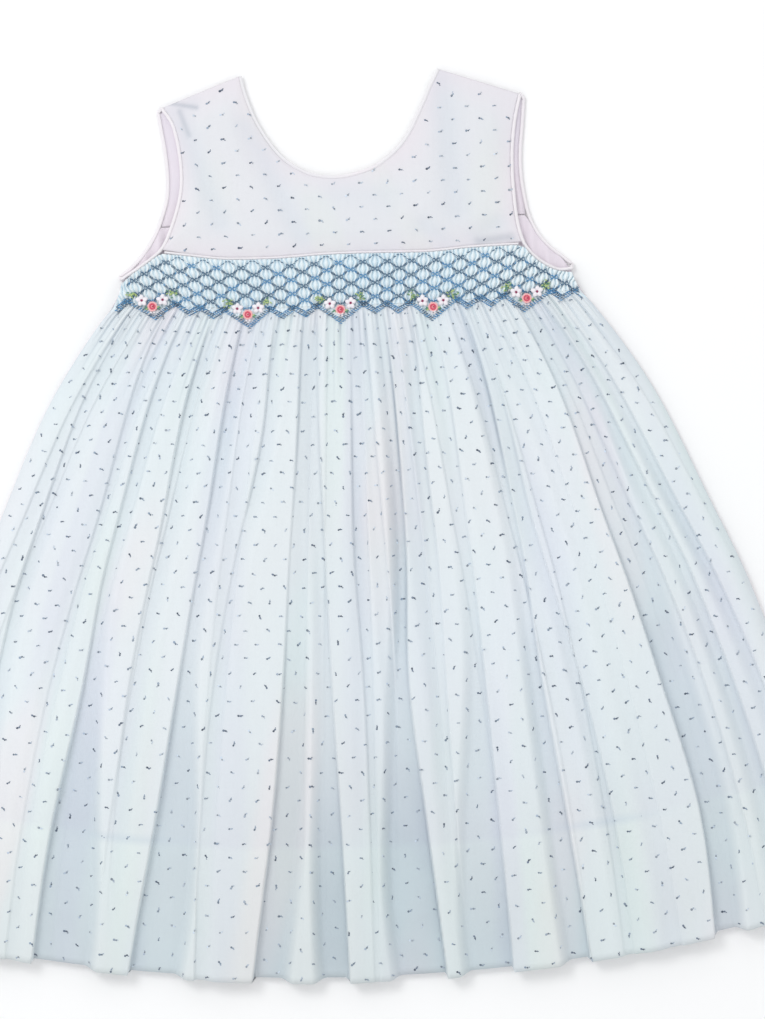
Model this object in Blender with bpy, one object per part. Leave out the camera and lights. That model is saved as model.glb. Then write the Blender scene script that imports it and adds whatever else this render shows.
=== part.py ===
# Smocked toddler's dress, sleeveless, laid flat on a surface with its front up.
# The tables are in millimetres and the meshes in metres. X runs to the right of a viewer who
# looks down on the front, Y runs from the hem to the neck with 0 at the front yoke seam,
# and Z runs up from the surface that the dress lies on.

import math
import random
from collections import namedtuple

import bmesh
import bpy

MM = 0.001
SEAM_GAP = 0.3
YOKE_WALL = 1.4
SKIRT_WALL = 1.2
ARM_PIPING_RADIUS = 1.0
NECK_PIPING_RADIUS = 0.8
SEAM_PIPING_RADIUS = 0.8
BACK_PIPING_RADIUS = 0.65
PIPING_SIDES = 6

# The smocked band is worked in the top of the skirt front.
BAND_DEPTH = 29.0
HALF_ROWS = 7
PLEATS = 124
PLEATS_PER_DIAMOND = 6
PLEATS_PER_GATHER = 3
MIDDLE_MOTIF = -0.029
PLEAT_RISE = 1.3
DIAMOND_PUFF = 0.7
BAND_BASE = 0.5
PINCH = 0.28

# Rows of the front below the band and of the back, as shares of the way down to the hem.
GATHER_LEVELS = (0.03, 0.085, 0.16)
CREASE_LEVELS = (0.26, 0.37, 0.48, 0.59, 0.70, 0.81, 0.91, 1.0)
BACK_GATHER_LEVELS = (0.0, 0.05, 0.12)
BACK_LEVELS = (0.24, 0.40, 0.56, 0.72, 0.86, 1.0)
BACK_COLUMNS = 32
COLUMNS_PER_GATHER = 4

# The hem is a shallow arc that hangs lowest in the middle, and each roll scallops it.
HEM_MIDDLE = -422.0
HEM_CURVE = 4.6e-4
HEM_HALF = 284.0
HEM_SCALLOP = 4.0
BAND_SMILE = 3.0

BACK_SEAM = 19.0
BACK_GATHERS = 30
BACK_GATHER_RISE = 1.2
BACK_NECK_DROP = 2.0
CENTRE_BACK_GAP = 0.4
UNDERARM_DROP = 2.4

# Centre of the whole outline, which becomes the origin.
OUTLINE_TOP = 106.1
OUTLINE_BOTTOM = -426.0

NECK = (
    (-58.0, 105.5), (-55.4, 94.0), (-48.5, 76.4), (-36.2, 58.4), (-21.0, 47.8), (-5.0, 44.6),
    (9.0, 46.6), (22.0, 51.7), (36.6, 64.6), (47.4, 84.0), (52.5, 95.0), (58.2, 105.7),
)
FRONT_ARM_LEFT = (
    (-104.4, 88.2), (-98.5, 78.5), (-95.2, 63.0), (-94.3, 48.0), (-95.6, 36.0), (-98.9, 24.4),
    (-104.0, 11.6), (-108.6, 4.6), (-115.5, -0.8), (-124.3, -6.6), (-131.5, -10.8),
)
FRONT_ARM_RIGHT = (
    (105.3, 89.6), (101.7, 75.0), (99.6, 59.0), (99.1, 44.0), (99.6, 30.0), (100.6, 18.0),
    (102.4, 8.4), (105.2, 0.9), (110.2, -5.4), (117.0, -10.6), (124.5, -13.9), (131.8, -13.4),
)
BACK_ARM_LEFT = (
    (-106.6, 86.0), (-105.0, 75.0), (-103.2, 62.0), (-102.3, 48.0), (-103.0, 36.0),
    (-106.2, 25.0), (-110.6, 14.5), (-116.4, 5.3), (-124.0, -3.4), (-132.3, -9.6),
)
BACK_ARM_RIGHT = (
    (107.3, 87.0), (105.9, 72.0), (104.2, 56.0), (104.2, 42.0), (105.8, 29.0), (108.2, 18.0),
    (112.8, 8.2), (119.2, 0.2), (126.4, -5.8), (132.4, -11.0),
)
YOKE_SEAM = (
    (-107.0, 4.2), (-88.0, 1.4), (-69.5, -0.9), (-40.0, -1.3), (-10.4, 0.0), (15.8, 0.0),
    (48.6, -0.4), (73.3, 1.2), (102.6, 1.9),
)

# Half of the skirt's outline: how far each side lies from the middle at each height.
SIDE = (
    (20.0, 131.0), (-12.0, 131.3), (-26.0, 136.0), (-34.0, 143.0), (-55.0, 158.5), (-79.0, 174.0),
    (-104.0, 187.0), (-149.0, 207.0), (-196.0, 228.0), (-260.0, 250.0), (-320.0, 266.0),
    (-380.0, 278.0), (-440.0, 287.0),
)

# Lower face of the front over the layers of the back, and top of the skirt's rolls.
FRONT_LIFT = (
    (110.0, 1.7), (70.0, 1.7), (45.0, 1.7), (25.0, 3.0), (-18.0, 3.0), (-60.0, 2.0), (-110.0, 1.6),
    (-150.0, 1.6), (-440.0, 1.6),
)
ROLL_TOP = (
    (20.0, 6.4), (-29.0, 6.4), (-45.0, 8.2), (-80.0, 10.2), (-150.0, 12.2), (-250.0, 13.2),
    (-440.0, 12.6),
)
SIDE_ROLL = 13.0

# Soft creases in the skirt front, from left to right. Each has a steep wall, a floor on one side
# of it and a slow rise beyond. Places are fractions of the skirt's half width at six heights,
# floors are millimetres, depths are fractions of the roll's height, and side says on which side
# of the wall the floor lies.
CREASE_HEIGHTS = (-45.0, -100.0, -170.0, -250.0, -330.0, -420.0)
Crease = namedtuple("Crease", "name top upper middle lower deep hem floor_top floor_hem "
                              "depth_top depth_middle depth_hem side")
CREASES = (
    Crease("a", -0.890, -0.885, -0.880, -0.865, -0.855, -0.845, 3, 9, 0.30, 0.35, 0.50, 1),
    Crease("b", -0.745, -0.722, -0.720, -0.735, -0.745, -0.755, 3, 3, 0.45, 0.20, 0.10, 1),
    Crease("c", -0.665, -0.660, -0.660, -0.655, -0.680, -0.700, 3, 33, 0.35, 0.55, 0.90, 1),
    Crease("d", -0.545, -0.540, -0.535, -0.545, -0.545, -0.545, 3, 3, 0.55, 0.30, 0.00, 1),
    Crease("e", -0.415, -0.410, -0.413, -0.430, -0.455, -0.500, 3, 26, 0.60, 0.65, 0.90, 1),
    Crease("f", -0.285, -0.275, -0.315, -0.345, -0.355, -0.360, 3, 4, 0.40, 0.20, 0.12, 1),
    Crease("g", -0.175, -0.167, -0.173, -0.180, -0.200, -0.240, 8, 22, 0.35, 0.45, 0.85, 1),
    Crease("h", -0.120, -0.105, -0.085, -0.070, -0.055, -0.045, 3, 19, 0.40, 0.30, 0.85, -1),
    Crease("i", 0.012, 0.002, -0.003, 0.010, 0.012, 0.010, 2, 3, 0.10, 0.35, 0.12, 1),
    Crease("j", 0.068, 0.070, 0.078, 0.080, 0.070, 0.060, 3, 4, 0.40, 0.25, 0.10, -1),
    Crease("k", 0.146, 0.142, 0.133, 0.112, 0.130, 0.155, 3, 25, 0.70, 0.80, 0.95, -1),
    Crease("l", 0.250, 0.222, 0.215, 0.200, 0.195, 0.205, 3, 4, 0.50, 0.35, 0.10, -1),
    Crease("m", 0.335, 0.320, 0.303, 0.292, 0.288, 0.292, 3, 23, 0.25, 0.30, 0.80, -1),
    Crease("n", 0.465, 0.452, 0.440, 0.425, 0.435, 0.453, 3, 10, 0.60, 0.50, 0.80, -1),
    Crease("o", 0.500, 0.493, 0.487, 0.515, 0.535, 0.545, 2, 3, 0.10, 0.40, 0.15, -1),
    Crease("p", 0.690, 0.690, 0.690, 0.705, 0.728, 0.715, 13, 11, 0.45, 0.75, 0.85, 1),
    Crease("q", 0.752, 0.757, 0.775, 0.800, 0.815, 0.825, 3, 3, 0.30, 0.45, 0.10, -1),
    Crease("r", 0.808, 0.820, 0.850, 0.868, 0.885, 0.900, 3, 8, 0.45, 0.50, 0.45, -1),
    Crease("t", 0.870, 0.883, 0.908, 0.935, 0.948, 0.955, 2, 3, 0.40, 0.50, 0.10, -1),
)
WALL_RUN = 3.6
RISE_TOP = 7.0
RISE_HEM = 19.0

# Soft troughs in the yoke, from one end to the other.
Trough = namedtuple("Trough", "x_start y_start x_end y_end width depth")
YOKE_TROUGHS = (
    Trough(-93, 78, -72, 20, 7, 0.8),
    Trough(-54, 76, -25, 8, 7, 0.8),
    Trough(-2, 36, 24, 32, 9, 0.5),
    Trough(59, 99, 66, 24, 9, 0.8),
    Trough(90, 14, 76, 6, 6, 0.7),
    Trough(47, 14, 60, 3, 6, 0.7),
    Trough(-104, 84, -86, 90, 5, 0.6),
)
YOKE_ARCH = 2.0

PALE_BLUE = (0.78, 0.84, 0.91, 1.0)
LAVENDER = (0.70, 0.67, 0.78, 1.0)
PINK_WHITE = (0.90, 0.82, 0.86, 1.0)


def clamp(value, low=0.0, high=1.0):
    return max(low, min(high, value))


def soft_step(low, high, value):
    part = clamp((value - low) / (high - low))
    return part * part * (3.0 - 2.0 * part)


def between(first, second, share):
    return first + (second - first) * share


def value_at(table, key):
    """Smooth value of a two-column table, whose keys run down, at one key."""
    if key >= table[0][0]:
        return table[0][1]
    for row in range(len(table) - 1):
        high, low = table[row], table[row + 1]
        if key >= low[0]:
            break
    else:
        return table[-1][1]
    before = table[max(row - 1, 0)]
    after = table[min(row + 2, len(table) - 1)]
    span = high[0] - low[0]
    share = (high[0] - key) / span
    slope_high = (low[1] - before[1]) / (before[0] - low[0]) * span if row else low[1] - high[1]
    slope_low = (after[1] - high[1]) / (high[0] - after[0]) * span if row + 2 < len(table) else low[1] - high[1]
    square, cube = share * share, share ** 3
    return (high[1] * (2 * cube - 3 * square + 1) + slope_high * (cube - 2 * square + share)
            + low[1] * (3 * square - 2 * cube) + slope_low * (cube - square))


def curve_through(points, count):
    """Points spaced evenly along a smooth curve through the given ones."""
    fine = []
    last = len(points) - 1
    for index in range(last):
        p0, p1 = points[max(index - 1, 0)], points[index]
        p2, p3 = points[index + 1], points[min(index + 2, last)]
        for step in range(12):
            t = step / 12.0
            fine.append(tuple(
                0.5 * (2 * b + (c - a) * t + (2 * a - 5 * b + 4 * c - d) * t * t + (3 * b - a - 3 * c + d) * t ** 3)
                for a, b, c, d in zip(p0, p1, p2, p3)))
    fine.append(tuple(points[-1]))
    lengths = [0.0]
    for first, second in zip(fine, fine[1:]):
        lengths.append(lengths[-1] + math.dist(first, second))
    result = []
    place = 0
    for index in range(count):
        target = lengths[-1] * index / (count - 1)
        while place < len(fine) - 2 and lengths[place + 1] < target:
            place += 1
        share = clamp((target - lengths[place]) / (lengths[place + 1] - lengths[place]))
        result.append(tuple(between(a, b, share) for a, b in zip(fine[place], fine[place + 1])))
    return result


def inset(points, distance):
    """The same line moved to its left by a distance, in plan."""
    moved = []
    for index, point in enumerate(points):
        before = points[max(index - 1, 0)]
        after = points[min(index + 1, len(points) - 1)]
        run_x, run_y = after[0] - before[0], after[1] - before[1]
        run = math.hypot(run_x, run_y)
        moved.append((point[0] - run_y / run * distance, point[1] + run_x / run * distance))
    return moved


def panel_edge(line, distance):
    """Edge of a panel beside a piping line, moved to the line's left by a distance."""
    return inset(curve_through(line, 48), distance)


def height_on(line, x):
    """Y of a line that runs from left to right, at one X."""
    if x <= line[0][0]:
        return line[0][1]
    for first, second in zip(line, line[1:]):
        if x <= second[0]:
            return between(first[1], second[1], (x - first[0]) / (second[0] - first[0]))
    return line[-1][1]


def top_point(line, place, narrowing=0.0):
    """Point of a skirt's top edge at a place across it, from -1 to 1."""
    y = height_on(line, place * value_at(SIDE, 0.0))
    for _ in range(4):
        x = place * (value_at(SIDE, y) - narrowing)
        y = height_on(line, x)
    return x, y


def join_rows(faces, first, second):
    """Faces between two rows of (place across, vertex) whose counts may differ."""
    if len(first) == len(second):
        for index in range(len(first) - 1):
            faces.append((first[index][1], first[index + 1][1], second[index + 1][1], second[index][1]))
        return
    i = j = 0
    while i < len(first) - 1 or j < len(second) - 1:
        first_next = first[i + 1][0] if i < len(first) - 1 else 9.0
        second_next = second[j + 1][0] if j < len(second) - 1 else 9.0
        if first_next <= second_next:
            faces.append((first[i][1], first[i + 1][1], second[j][1]))
            i += 1
        else:
            faces.append((first[i][1], second[j + 1][1], second[j][1]))
            j += 1


def closed_wall(name, outer_rows, inner_rows, material):
    """One closed wall of cloth from the rows of points of its two faces."""
    points = []
    faces = []

    def places(line):
        """Places along a line of (point, vertex), 0 to 1, each with its vertex."""
        runs = [0.0]
        for (first, _), (second, _) in zip(line, line[1:]):
            runs.append(runs[-1] + math.hypot(second[0] - first[0], second[1] - first[1]))
        return [(run / runs[-1], vertex) for run, (_, vertex) in zip(runs, line)]

    def add_rows(rows):
        table = []
        for row in rows:
            table.append([(point, len(points) + index) for index, point in enumerate(row)])
            points.extend(row)
        for first, second in zip(table, table[1:]):
            join_rows(faces, places(first), places(second))
        return table

    outer = add_rows(outer_rows)
    inner = add_rows(inner_rows)
    for end in (0, -1):
        join_rows(faces, places(outer[end]), places(inner[end]))
        join_rows(faces, places([row[end] for row in outer]), places([row[end] for row in inner]))
    return add_object(name, points, faces, material)


def add_object(name, points, faces, material):
    middle = 0.5 * (OUTLINE_TOP + OUTLINE_BOTTOM)
    shape = bmesh.new()
    corners = [shape.verts.new((x * MM, (y - middle) * MM, z * MM)) for x, y, z in points]
    for face in faces:
        shape.faces.new([corners[index] for index in face])
    bmesh.ops.triangulate(shape, faces=shape.faces[:])
    bmesh.ops.recalc_face_normals(shape, faces=shape.faces[:])
    mesh = bpy.data.meshes.new(name)
    shape.to_mesh(mesh)
    shape.free()
    mesh.materials.append(material)
    mesh.shade_smooth()
    placed = bpy.data.objects.new(name, mesh)
    bpy.context.scene.collection.objects.link(placed)
    return placed


def add_piping(name, line, radius, closed, material):
    """Round piping along a line of (x, y, z) points."""
    points = []
    faces = []
    count = len(line)
    for index, (x, y, z) in enumerate(line):
        before = line[index - 1] if index or closed else line[0]
        after = line[(index + 1) % count] if index < count - 1 or closed else line[-1]
        run = math.hypot(after[0] - before[0], after[1] - before[1])
        side_x, side_y = (after[1] - before[1]) / run, (before[0] - after[0]) / run
        for corner in range(PIPING_SIDES):
            turn = 2.0 * math.pi * corner / PIPING_SIDES
            out = radius * math.cos(turn)
            points.append((x + side_x * out, y + side_y * out, z + radius * math.sin(turn)))
    rings = count if closed else count - 1
    for ring in range(rings):
        here = ring * PIPING_SIDES
        there = (ring + 1) % count * PIPING_SIDES
        for corner in range(PIPING_SIDES):
            beside = (corner + 1) % PIPING_SIDES
            faces.append((here + corner, here + beside, there + beside, there + corner))
    if not closed:
        faces.append(tuple(range(PIPING_SIDES)))
        faces.append(tuple((count - 1) * PIPING_SIDES + corner for corner in range(PIPING_SIDES)))
    return add_object(name, points, faces, material)


def make_material(name, colour, roughness):
    material = bpy.data.materials.new(name)
    material.use_nodes = True
    shader = material.node_tree.nodes["Principled BSDF"]
    shader.inputs["Base Color"].default_value = colour
    shader.inputs["Roughness"].default_value = roughness
    shader.inputs["Metallic"].default_value = 0.0
    return material


def hem_height(x):
    return HEM_MIDDLE + HEM_CURVE * x * x


def crease_place(crease, y):
    places = (crease.top, crease.upper, crease.middle, crease.lower, crease.deep, crease.hem)
    return value_at(tuple(zip(CREASE_HEIGHTS, places)), y)


def crease_floor(crease, y):
    return between(crease.floor_top, crease.floor_hem, soft_step(-210.0, -400.0, y))


def crease_depth(crease, y):
    table = ((-30.0, 0.0), (-50.0, crease.depth_top), (-180.0, crease.depth_middle), (-400.0, crease.depth_hem))
    return value_at(table, y)


def crease_rise(y):
    return between(RISE_TOP, RISE_HEM, soft_step(-40.0, -330.0, y))


def openness(x, y):
    """1 on top of a roll, falling to 0 on the floor of the deepest crease and at the side seams."""
    half = value_at(SIDE, y)
    share = 1.0
    for crease in CREASES:
        along = (x - crease_place(crease, y) * half) * crease.side
        floor = crease_floor(crease, y)
        notch = soft_step(-WALL_RUN, 0.0, along) * (1.0 - soft_step(floor, floor + crease_rise(y), along))
        share *= 1.0 - crease_depth(crease, y) * notch
    edge = clamp((half - abs(x)) / SIDE_ROLL)
    return share * math.sqrt(1.0 - (1.0 - edge) ** 2)


def make_gathers():
    """Height and length of each gather under the smocking, a little uneven."""
    chance = random.Random(12)
    count = PLEATS // PLEATS_PER_GATHER + 1
    return [(chance.uniform(0.9, 1.9), chance.uniform(35.0, 85.0)) for _ in range(count + 1)]


GATHERS = make_gathers()


def gather_height(across, y):
    """Ridge of the gather at a place across the skirt, 0 to 1."""
    place = across * PLEATS / PLEATS_PER_GATHER
    rise, length = GATHERS[int(place)]
    fade = 1.0 - soft_step(0.0, length, -BAND_DEPTH - y)
    return rise * fade * (0.5 - 0.5 * math.cos(2.0 * math.pi * place))


def skirt_height(x, y):
    """Outer face of the skirt front below its smocking."""
    half = value_at(SIDE, y)
    across = clamp(0.5 + 0.5 * x / half, 0.0, 0.9999)
    base = value_at(FRONT_LIFT, y) + SKIRT_WALL
    share = openness(x, y)
    top = value_at(ROLL_TOP, y)
    return base + (top - base) * share + gather_height(across, y) * min(1.0, 4.0 * share)


def skirt_inside(x, y, reach):
    """Inner face: one wall below the lowest point of the outer face within reach."""
    steps = (-1.0, -0.5, 0.0, 0.5, 1.0)
    return min(skirt_height(x + reach * step, y) for step in steps) - SKIRT_WALL


def skirt_row_height(across, level):
    """Y at a place across the skirt on the way from the smocking, 0, to the hem, 1."""
    place = 2.0 * across - 1.0
    x = place * HEM_HALF
    top = -BAND_DEPTH + BAND_SMILE * place * place
    return between(top, hem_height(x), level)


def crease_columns(y):
    """Places across the skirt, 0 to 1, that follow each crease down."""
    half = value_at(SIDE, y)
    middles = []
    for crease in CREASES:
        middles.append(crease_place(crease, y) * half + 0.5 * crease_floor(crease, y) * crease.side)
    bounds = [-half + SIDE_ROLL]
    bounds += [0.5 * (first + second) for first, second in zip(middles, middles[1:])]
    bounds += [half - SIDE_ROLL]
    columns = [-half, -half + 0.15 * SIDE_ROLL, -half + 0.5 * SIDE_ROLL]
    for index, crease in enumerate(CREASES):
        low, high = bounds[index], bounds[index + 1]
        wall = crease_place(crease, y) * half
        floor = crease_floor(crease, y)
        marks = [wall + offset * crease.side for offset in (-WALL_RUN, 0.0, floor, floor + 0.6 * crease_rise(y))]
        marks.sort()
        margin = 0.06 * (high - low)
        spaced = []
        for order, mark in enumerate(marks):
            spaced.append(clamp(mark, low + margin * (order + 1), high - margin * (len(marks) - order)))
        columns.append(low)
        columns.extend(spaced)
    columns += [half - SIDE_ROLL, half - 0.5 * SIDE_ROLL, half - 0.15 * SIDE_ROLL, half]
    return [0.5 + 0.5 * column / half for column in columns]


def band_top_line():
    """Top edge of the smocked band: up one armhole, along the seam and down the other."""
    arm_inset = ARM_PIPING_RADIUS + SEAM_GAP
    seam_inset = SEAM_PIPING_RADIUS + SEAM_GAP
    left = [point for point in panel_edge(FRONT_ARM_LEFT[::-1], -arm_inset)[3:] if point[1] < 3.0]
    seam = [point for point in panel_edge(YOKE_SEAM, -seam_inset) if abs(point[0]) < 100.0]
    right = [point for point in panel_edge(FRONT_ARM_RIGHT, -arm_inset)[:-3] if point[1] < 0.5]
    left_corner = (-131.0, FRONT_ARM_LEFT[-1][1] - UNDERARM_DROP)
    right_corner = (131.0, FRONT_ARM_RIGHT[-1][1] - UNDERARM_DROP)
    return [left_corner] + left + [(-107.0, 3.0)] + seam + [(101.5, 0.8)] + right + [right_corner]


BAND_TOP = band_top_line()


def band_point(pleat, row):
    """Outer face of the smocking at a place counted in pleats, on a half-row."""
    depth = row / HALF_ROWS
    node = 2.0 * math.pi * (pleat - PLEATS * 0.5 * (1.0 + MIDDLE_MOTIF)) / PLEATS_PER_DIAMOND
    pulled = math.cos(node + math.pi * row)
    place = 2.0 * pleat / PLEATS - 1.0
    edge = clamp(min(pleat, PLEATS - pleat) / 2.0)
    place -= edge * PINCH / PLEATS * math.sin(node + math.pi * row)
    top = top_point(BAND_TOP, place)[1]
    bottom = skirt_row_height(0.5 + 0.5 * place, 0.0)
    y = between(top, bottom, depth)
    x = place * value_at(SIDE, y)
    ridge = 0.5 - 0.5 * math.cos(2.0 * math.pi * pleat)
    z = value_at(FRONT_LIFT, y) + SKIRT_WALL + BAND_BASE
    z += edge * (PLEAT_RISE * ridge + DIAMOND_PUFF * (0.5 - 0.5 * pulled))
    return x, y, z


def make_skirt_front(material):
    outer = []
    for row in range(HALF_ROWS + 1):
        outer.append([band_point(0.5 * column, row) for column in range(2 * PLEATS + 1)])
    gather_columns = PLEATS // PLEATS_PER_GATHER * COLUMNS_PER_GATHER
    for level in GATHER_LEVELS:
        row = []
        for column in range(gather_columns + 1):
            across = column / gather_columns
            y = skirt_row_height(across, level)
            x = (2.0 * across - 1.0) * value_at(SIDE, y)
            row.append((x, y, skirt_height(x, y)))
        outer.append(row)
    inner = []
    inner_columns = PLEATS // 2
    for depth in (0.0, 0.5, 1.0):
        row = []
        for column in range(inner_columns + 1):
            place = 2.0 * column / inner_columns - 1.0
            y = between(top_point(BAND_TOP, place)[1], skirt_row_height(0.5 + 0.5 * place, 0.0), depth)
            row.append((place * value_at(SIDE, y), y, value_at(FRONT_LIFT, y)))
        inner.append(row)
    for level in GATHER_LEVELS:
        row = []
        for column in range(inner_columns + 1):
            across = column / inner_columns
            y = skirt_row_height(across, level)
            half = value_at(SIDE, y)
            x = (2.0 * across - 1.0) * half
            row.append((x, y, skirt_inside(x, y, 2.0 * half / inner_columns)))
        inner.append(row)
    for level in CREASE_LEVELS:
        columns = crease_columns(between(-BAND_DEPTH, HEM_MIDDLE, level))
        outer_row = []
        inner_row = []
        for across in columns:
            y = skirt_row_height(across, level)
            x = (2.0 * across - 1.0) * value_at(SIDE, y)
            drop = HEM_SCALLOP * openness(x, y) * soft_step(0.85, 1.0, level)
            outer_row.append((x, y - drop, skirt_height(x, y)))
            inner_row.append((x, y - drop, skirt_inside(x, y, SKIRT_WALL)))
        outer.append(outer_row)
        inner.append(inner_row)
    return closed_wall("skirt_front", outer, inner, material)


def back_top_line():
    """Top edge of the skirt back, which reaches higher than the front's."""
    arm_inset = ARM_PIPING_RADIUS + SEAM_GAP
    left = [point for point in panel_edge(BACK_ARM_LEFT[::-1], -arm_inset)[3:] if point[1] < BACK_SEAM - 3.0]
    right = [point for point in panel_edge(BACK_ARM_RIGHT, -arm_inset)[:-3] if point[1] < BACK_SEAM - 3.0]
    left_corner = (-131.0, BACK_ARM_LEFT[-1][1] - UNDERARM_DROP)
    right_corner = (131.0, BACK_ARM_RIGHT[-1][1] - UNDERARM_DROP)
    seam = [(-107.3, BACK_SEAM - 0.2), (106.0, BACK_SEAM - 0.2)]
    return [left_corner] + left + seam + right + [right_corner]


def make_skirt_back(material):
    """Back of the skirt: flat underneath, with short gathers on top under its yoke."""
    top_line = back_top_line()
    upper = []
    under = []

    def point_at(across, level):
        place = 2.0 * across - 1.0
        top = top_point(top_line, place, SEAM_GAP)[1]
        y = between(top, hem_height(place * HEM_HALF), level)
        return place * (value_at(SIDE, y) - SEAM_GAP), y

    for level in BACK_GATHER_LEVELS + BACK_LEVELS:
        columns = BACK_GATHERS * COLUMNS_PER_GATHER if level in BACK_GATHER_LEVELS else BACK_COLUMNS
        row = []
        for column in range(columns + 1):
            across = column / columns
            x, y = point_at(across, level)
            ridge = 0.5 - 0.5 * math.cos(2.0 * math.pi * across * BACK_GATHERS)
            fade = 1.0 - soft_step(0.04, BACK_GATHER_LEVELS[-1], level)
            row.append((x, y, SKIRT_WALL + BACK_GATHER_RISE * ridge * fade))
        upper.append(row)
    for level in (BACK_GATHER_LEVELS[0], BACK_GATHER_LEVELS[-1]) + BACK_LEVELS:
        under.append([(*point_at(column / BACK_COLUMNS, level), 0.0) for column in range(BACK_COLUMNS + 1)])
    return closed_wall("skirt_back", upper, under, material)


def trough_share(x, y):
    """1 on flat cloth, less along the yoke's soft troughs."""
    share = 1.0
    for trough in YOKE_TROUGHS:
        run_x, run_y = trough.x_end - trough.x_start, trough.y_end - trough.y_start
        square = run_x * run_x + run_y * run_y
        along = clamp(((x - trough.x_start) * run_x + (y - trough.y_start) * run_y) / square)
        away = math.hypot(x - trough.x_start - run_x * along, y - trough.y_start - run_y * along)
        share *= 1.0 - trough.depth * math.exp(-(away / trough.width) ** 2)
    return share


def panel_rows(neck, rim, lift, arch):
    """Rows from the neck edge out to the panel's rim: top face and underside."""
    strips = 6
    top = []
    under = []
    for index, (start, end) in enumerate(zip(neck, rim)):
        from_shoulder = min(index, len(neck) - 1 - index)
        top_row = []
        under_row = []
        for strip in range(strips + 1):
            share = strip / strips
            x = between(start[0], end[0], share)
            y = between(start[1], end[1], share)
            swell = arch * min(1.0, 5.0 * share * (1.0 - share)) * min(1.0, from_shoulder / 3.0)
            z = lift(y) + swell * trough_share(x, y)
            top_row.append((x, y, z + YOKE_WALL))
            under_row.append((x, y, z))
        top.append(top_row)
        under.append(under_row)
    return top, under


def make_yoke_front(material):
    """Front yoke: rows run from the neck edge to the armholes and the seam."""
    arm_rows = 12
    seam_rows = 20
    arm_inset = ARM_PIPING_RADIUS + SEAM_GAP
    neck_edge = inset(curve_through(NECK, 61), -NECK_PIPING_RADIUS - SEAM_GAP)
    seam_edge = panel_edge(YOKE_SEAM, SEAM_PIPING_RADIUS + SEAM_GAP)
    left_arm = panel_edge(FRONT_ARM_LEFT, arm_inset)
    right_arm = panel_edge(FRONT_ARM_RIGHT[::-1], arm_inset)
    left_arm = [point for point in left_arm if point[1] > 9.0] + [(-105.0, 5.6)]
    right_arm = [(101.0, 3.4)] + [point for point in right_arm if point[1] > 7.0]
    seam = [left_arm[-1]] + [point for point in seam_edge if abs(point[0]) < 95.0] + [right_arm[0]]
    rim = curve_through(left_arm, arm_rows + 1)
    rim += curve_through(seam, seam_rows + 1)[1:]
    rim += curve_through(right_arm, arm_rows + 1)[1:]
    neck = curve_through(neck_edge, len(rim))
    top, under = panel_rows(neck, rim, lambda y: value_at(FRONT_LIFT, y), YOKE_ARCH)
    return closed_wall("yoke_front", top, under, material)


def make_yoke_back(name, side, material):
    """Half of the back yoke, from its shoulder to the centre back opening."""
    arm_rows = 10
    seam_rows = 8
    arm_inset = ARM_PIPING_RADIUS + SEAM_GAP
    centre = side * 0.5 * CENTRE_BACK_GAP
    neck_edge = inset(back_neck_line(), -BACK_PIPING_RADIUS - SEAM_GAP)[::-side]
    neck_edge = [point for point in neck_edge if point[0] * side > 1.0]
    neck_edge.append((centre, neck_edge[-1][1]))
    arm = BACK_ARM_LEFT if side < 0 else BACK_ARM_RIGHT
    arm_edge = [point for point in panel_edge(arm, arm_inset * -side) if point[1] > BACK_SEAM + 4.0]
    corner = (side * (107.0 if side < 0 else 106.0), BACK_SEAM + 0.2)
    rim = curve_through(arm_edge + [corner], arm_rows + 1)
    for step in range(1, seam_rows + 1):
        rim.append((between(corner[0], centre, step / seam_rows), BACK_SEAM + 0.2))
    neck = curve_through(neck_edge, len(rim))
    top, under = panel_rows(neck, rim, lambda y: 0.0, 0.0)
    return closed_wall(name, top, under, material)


def arm_piping_line(front, back):
    """Closed line of an armhole's piping: down the front edge, then up the back edge."""
    line = []
    for x, y in curve_through(front, 30):
        line.append((x, y, value_at(FRONT_LIFT, y) + ARM_PIPING_RADIUS))
    for x, y in curve_through(back[::-1], 28):
        line.append((x, y, ARM_PIPING_RADIUS + 0.05))
    return line


def back_neck_line():
    """Back neck edge, which lies a little lower, under the front's."""
    return [(x, y - BACK_NECK_DROP) for x, y in curve_through(NECK, 61)]


def make_neck_piping(material):
    """Piping of the neck edge: one length in front and one on each back half."""
    lift = FRONT_LIFT[0][1] + NECK_PIPING_RADIUS + 0.1
    front = [(x, y, lift) for x, y in curve_through(NECK, 36)]
    add_piping("neck_piping_front", front, NECK_PIPING_RADIUS, False, material)
    for name, side in (("neck_piping_back_left", -1), ("neck_piping_back_right", 1)):
        half = [point for point in back_neck_line() if point[0] * side > 0.5 * CENTRE_BACK_GAP]
        line = [(x, y, BACK_PIPING_RADIUS + 0.05) for x, y in curve_through(half, 16)]
        add_piping(name, line, BACK_PIPING_RADIUS, False, material)


def make_seam_piping(material):
    line = []
    for x, y in curve_through(YOKE_SEAM, 34):
        line.append((x, y, value_at(FRONT_LIFT, y) + 0.5 * YOKE_WALL + 0.5))
    return add_piping("seam_piping", line[1:-1], SEAM_PIPING_RADIUS, False, material)


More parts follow.
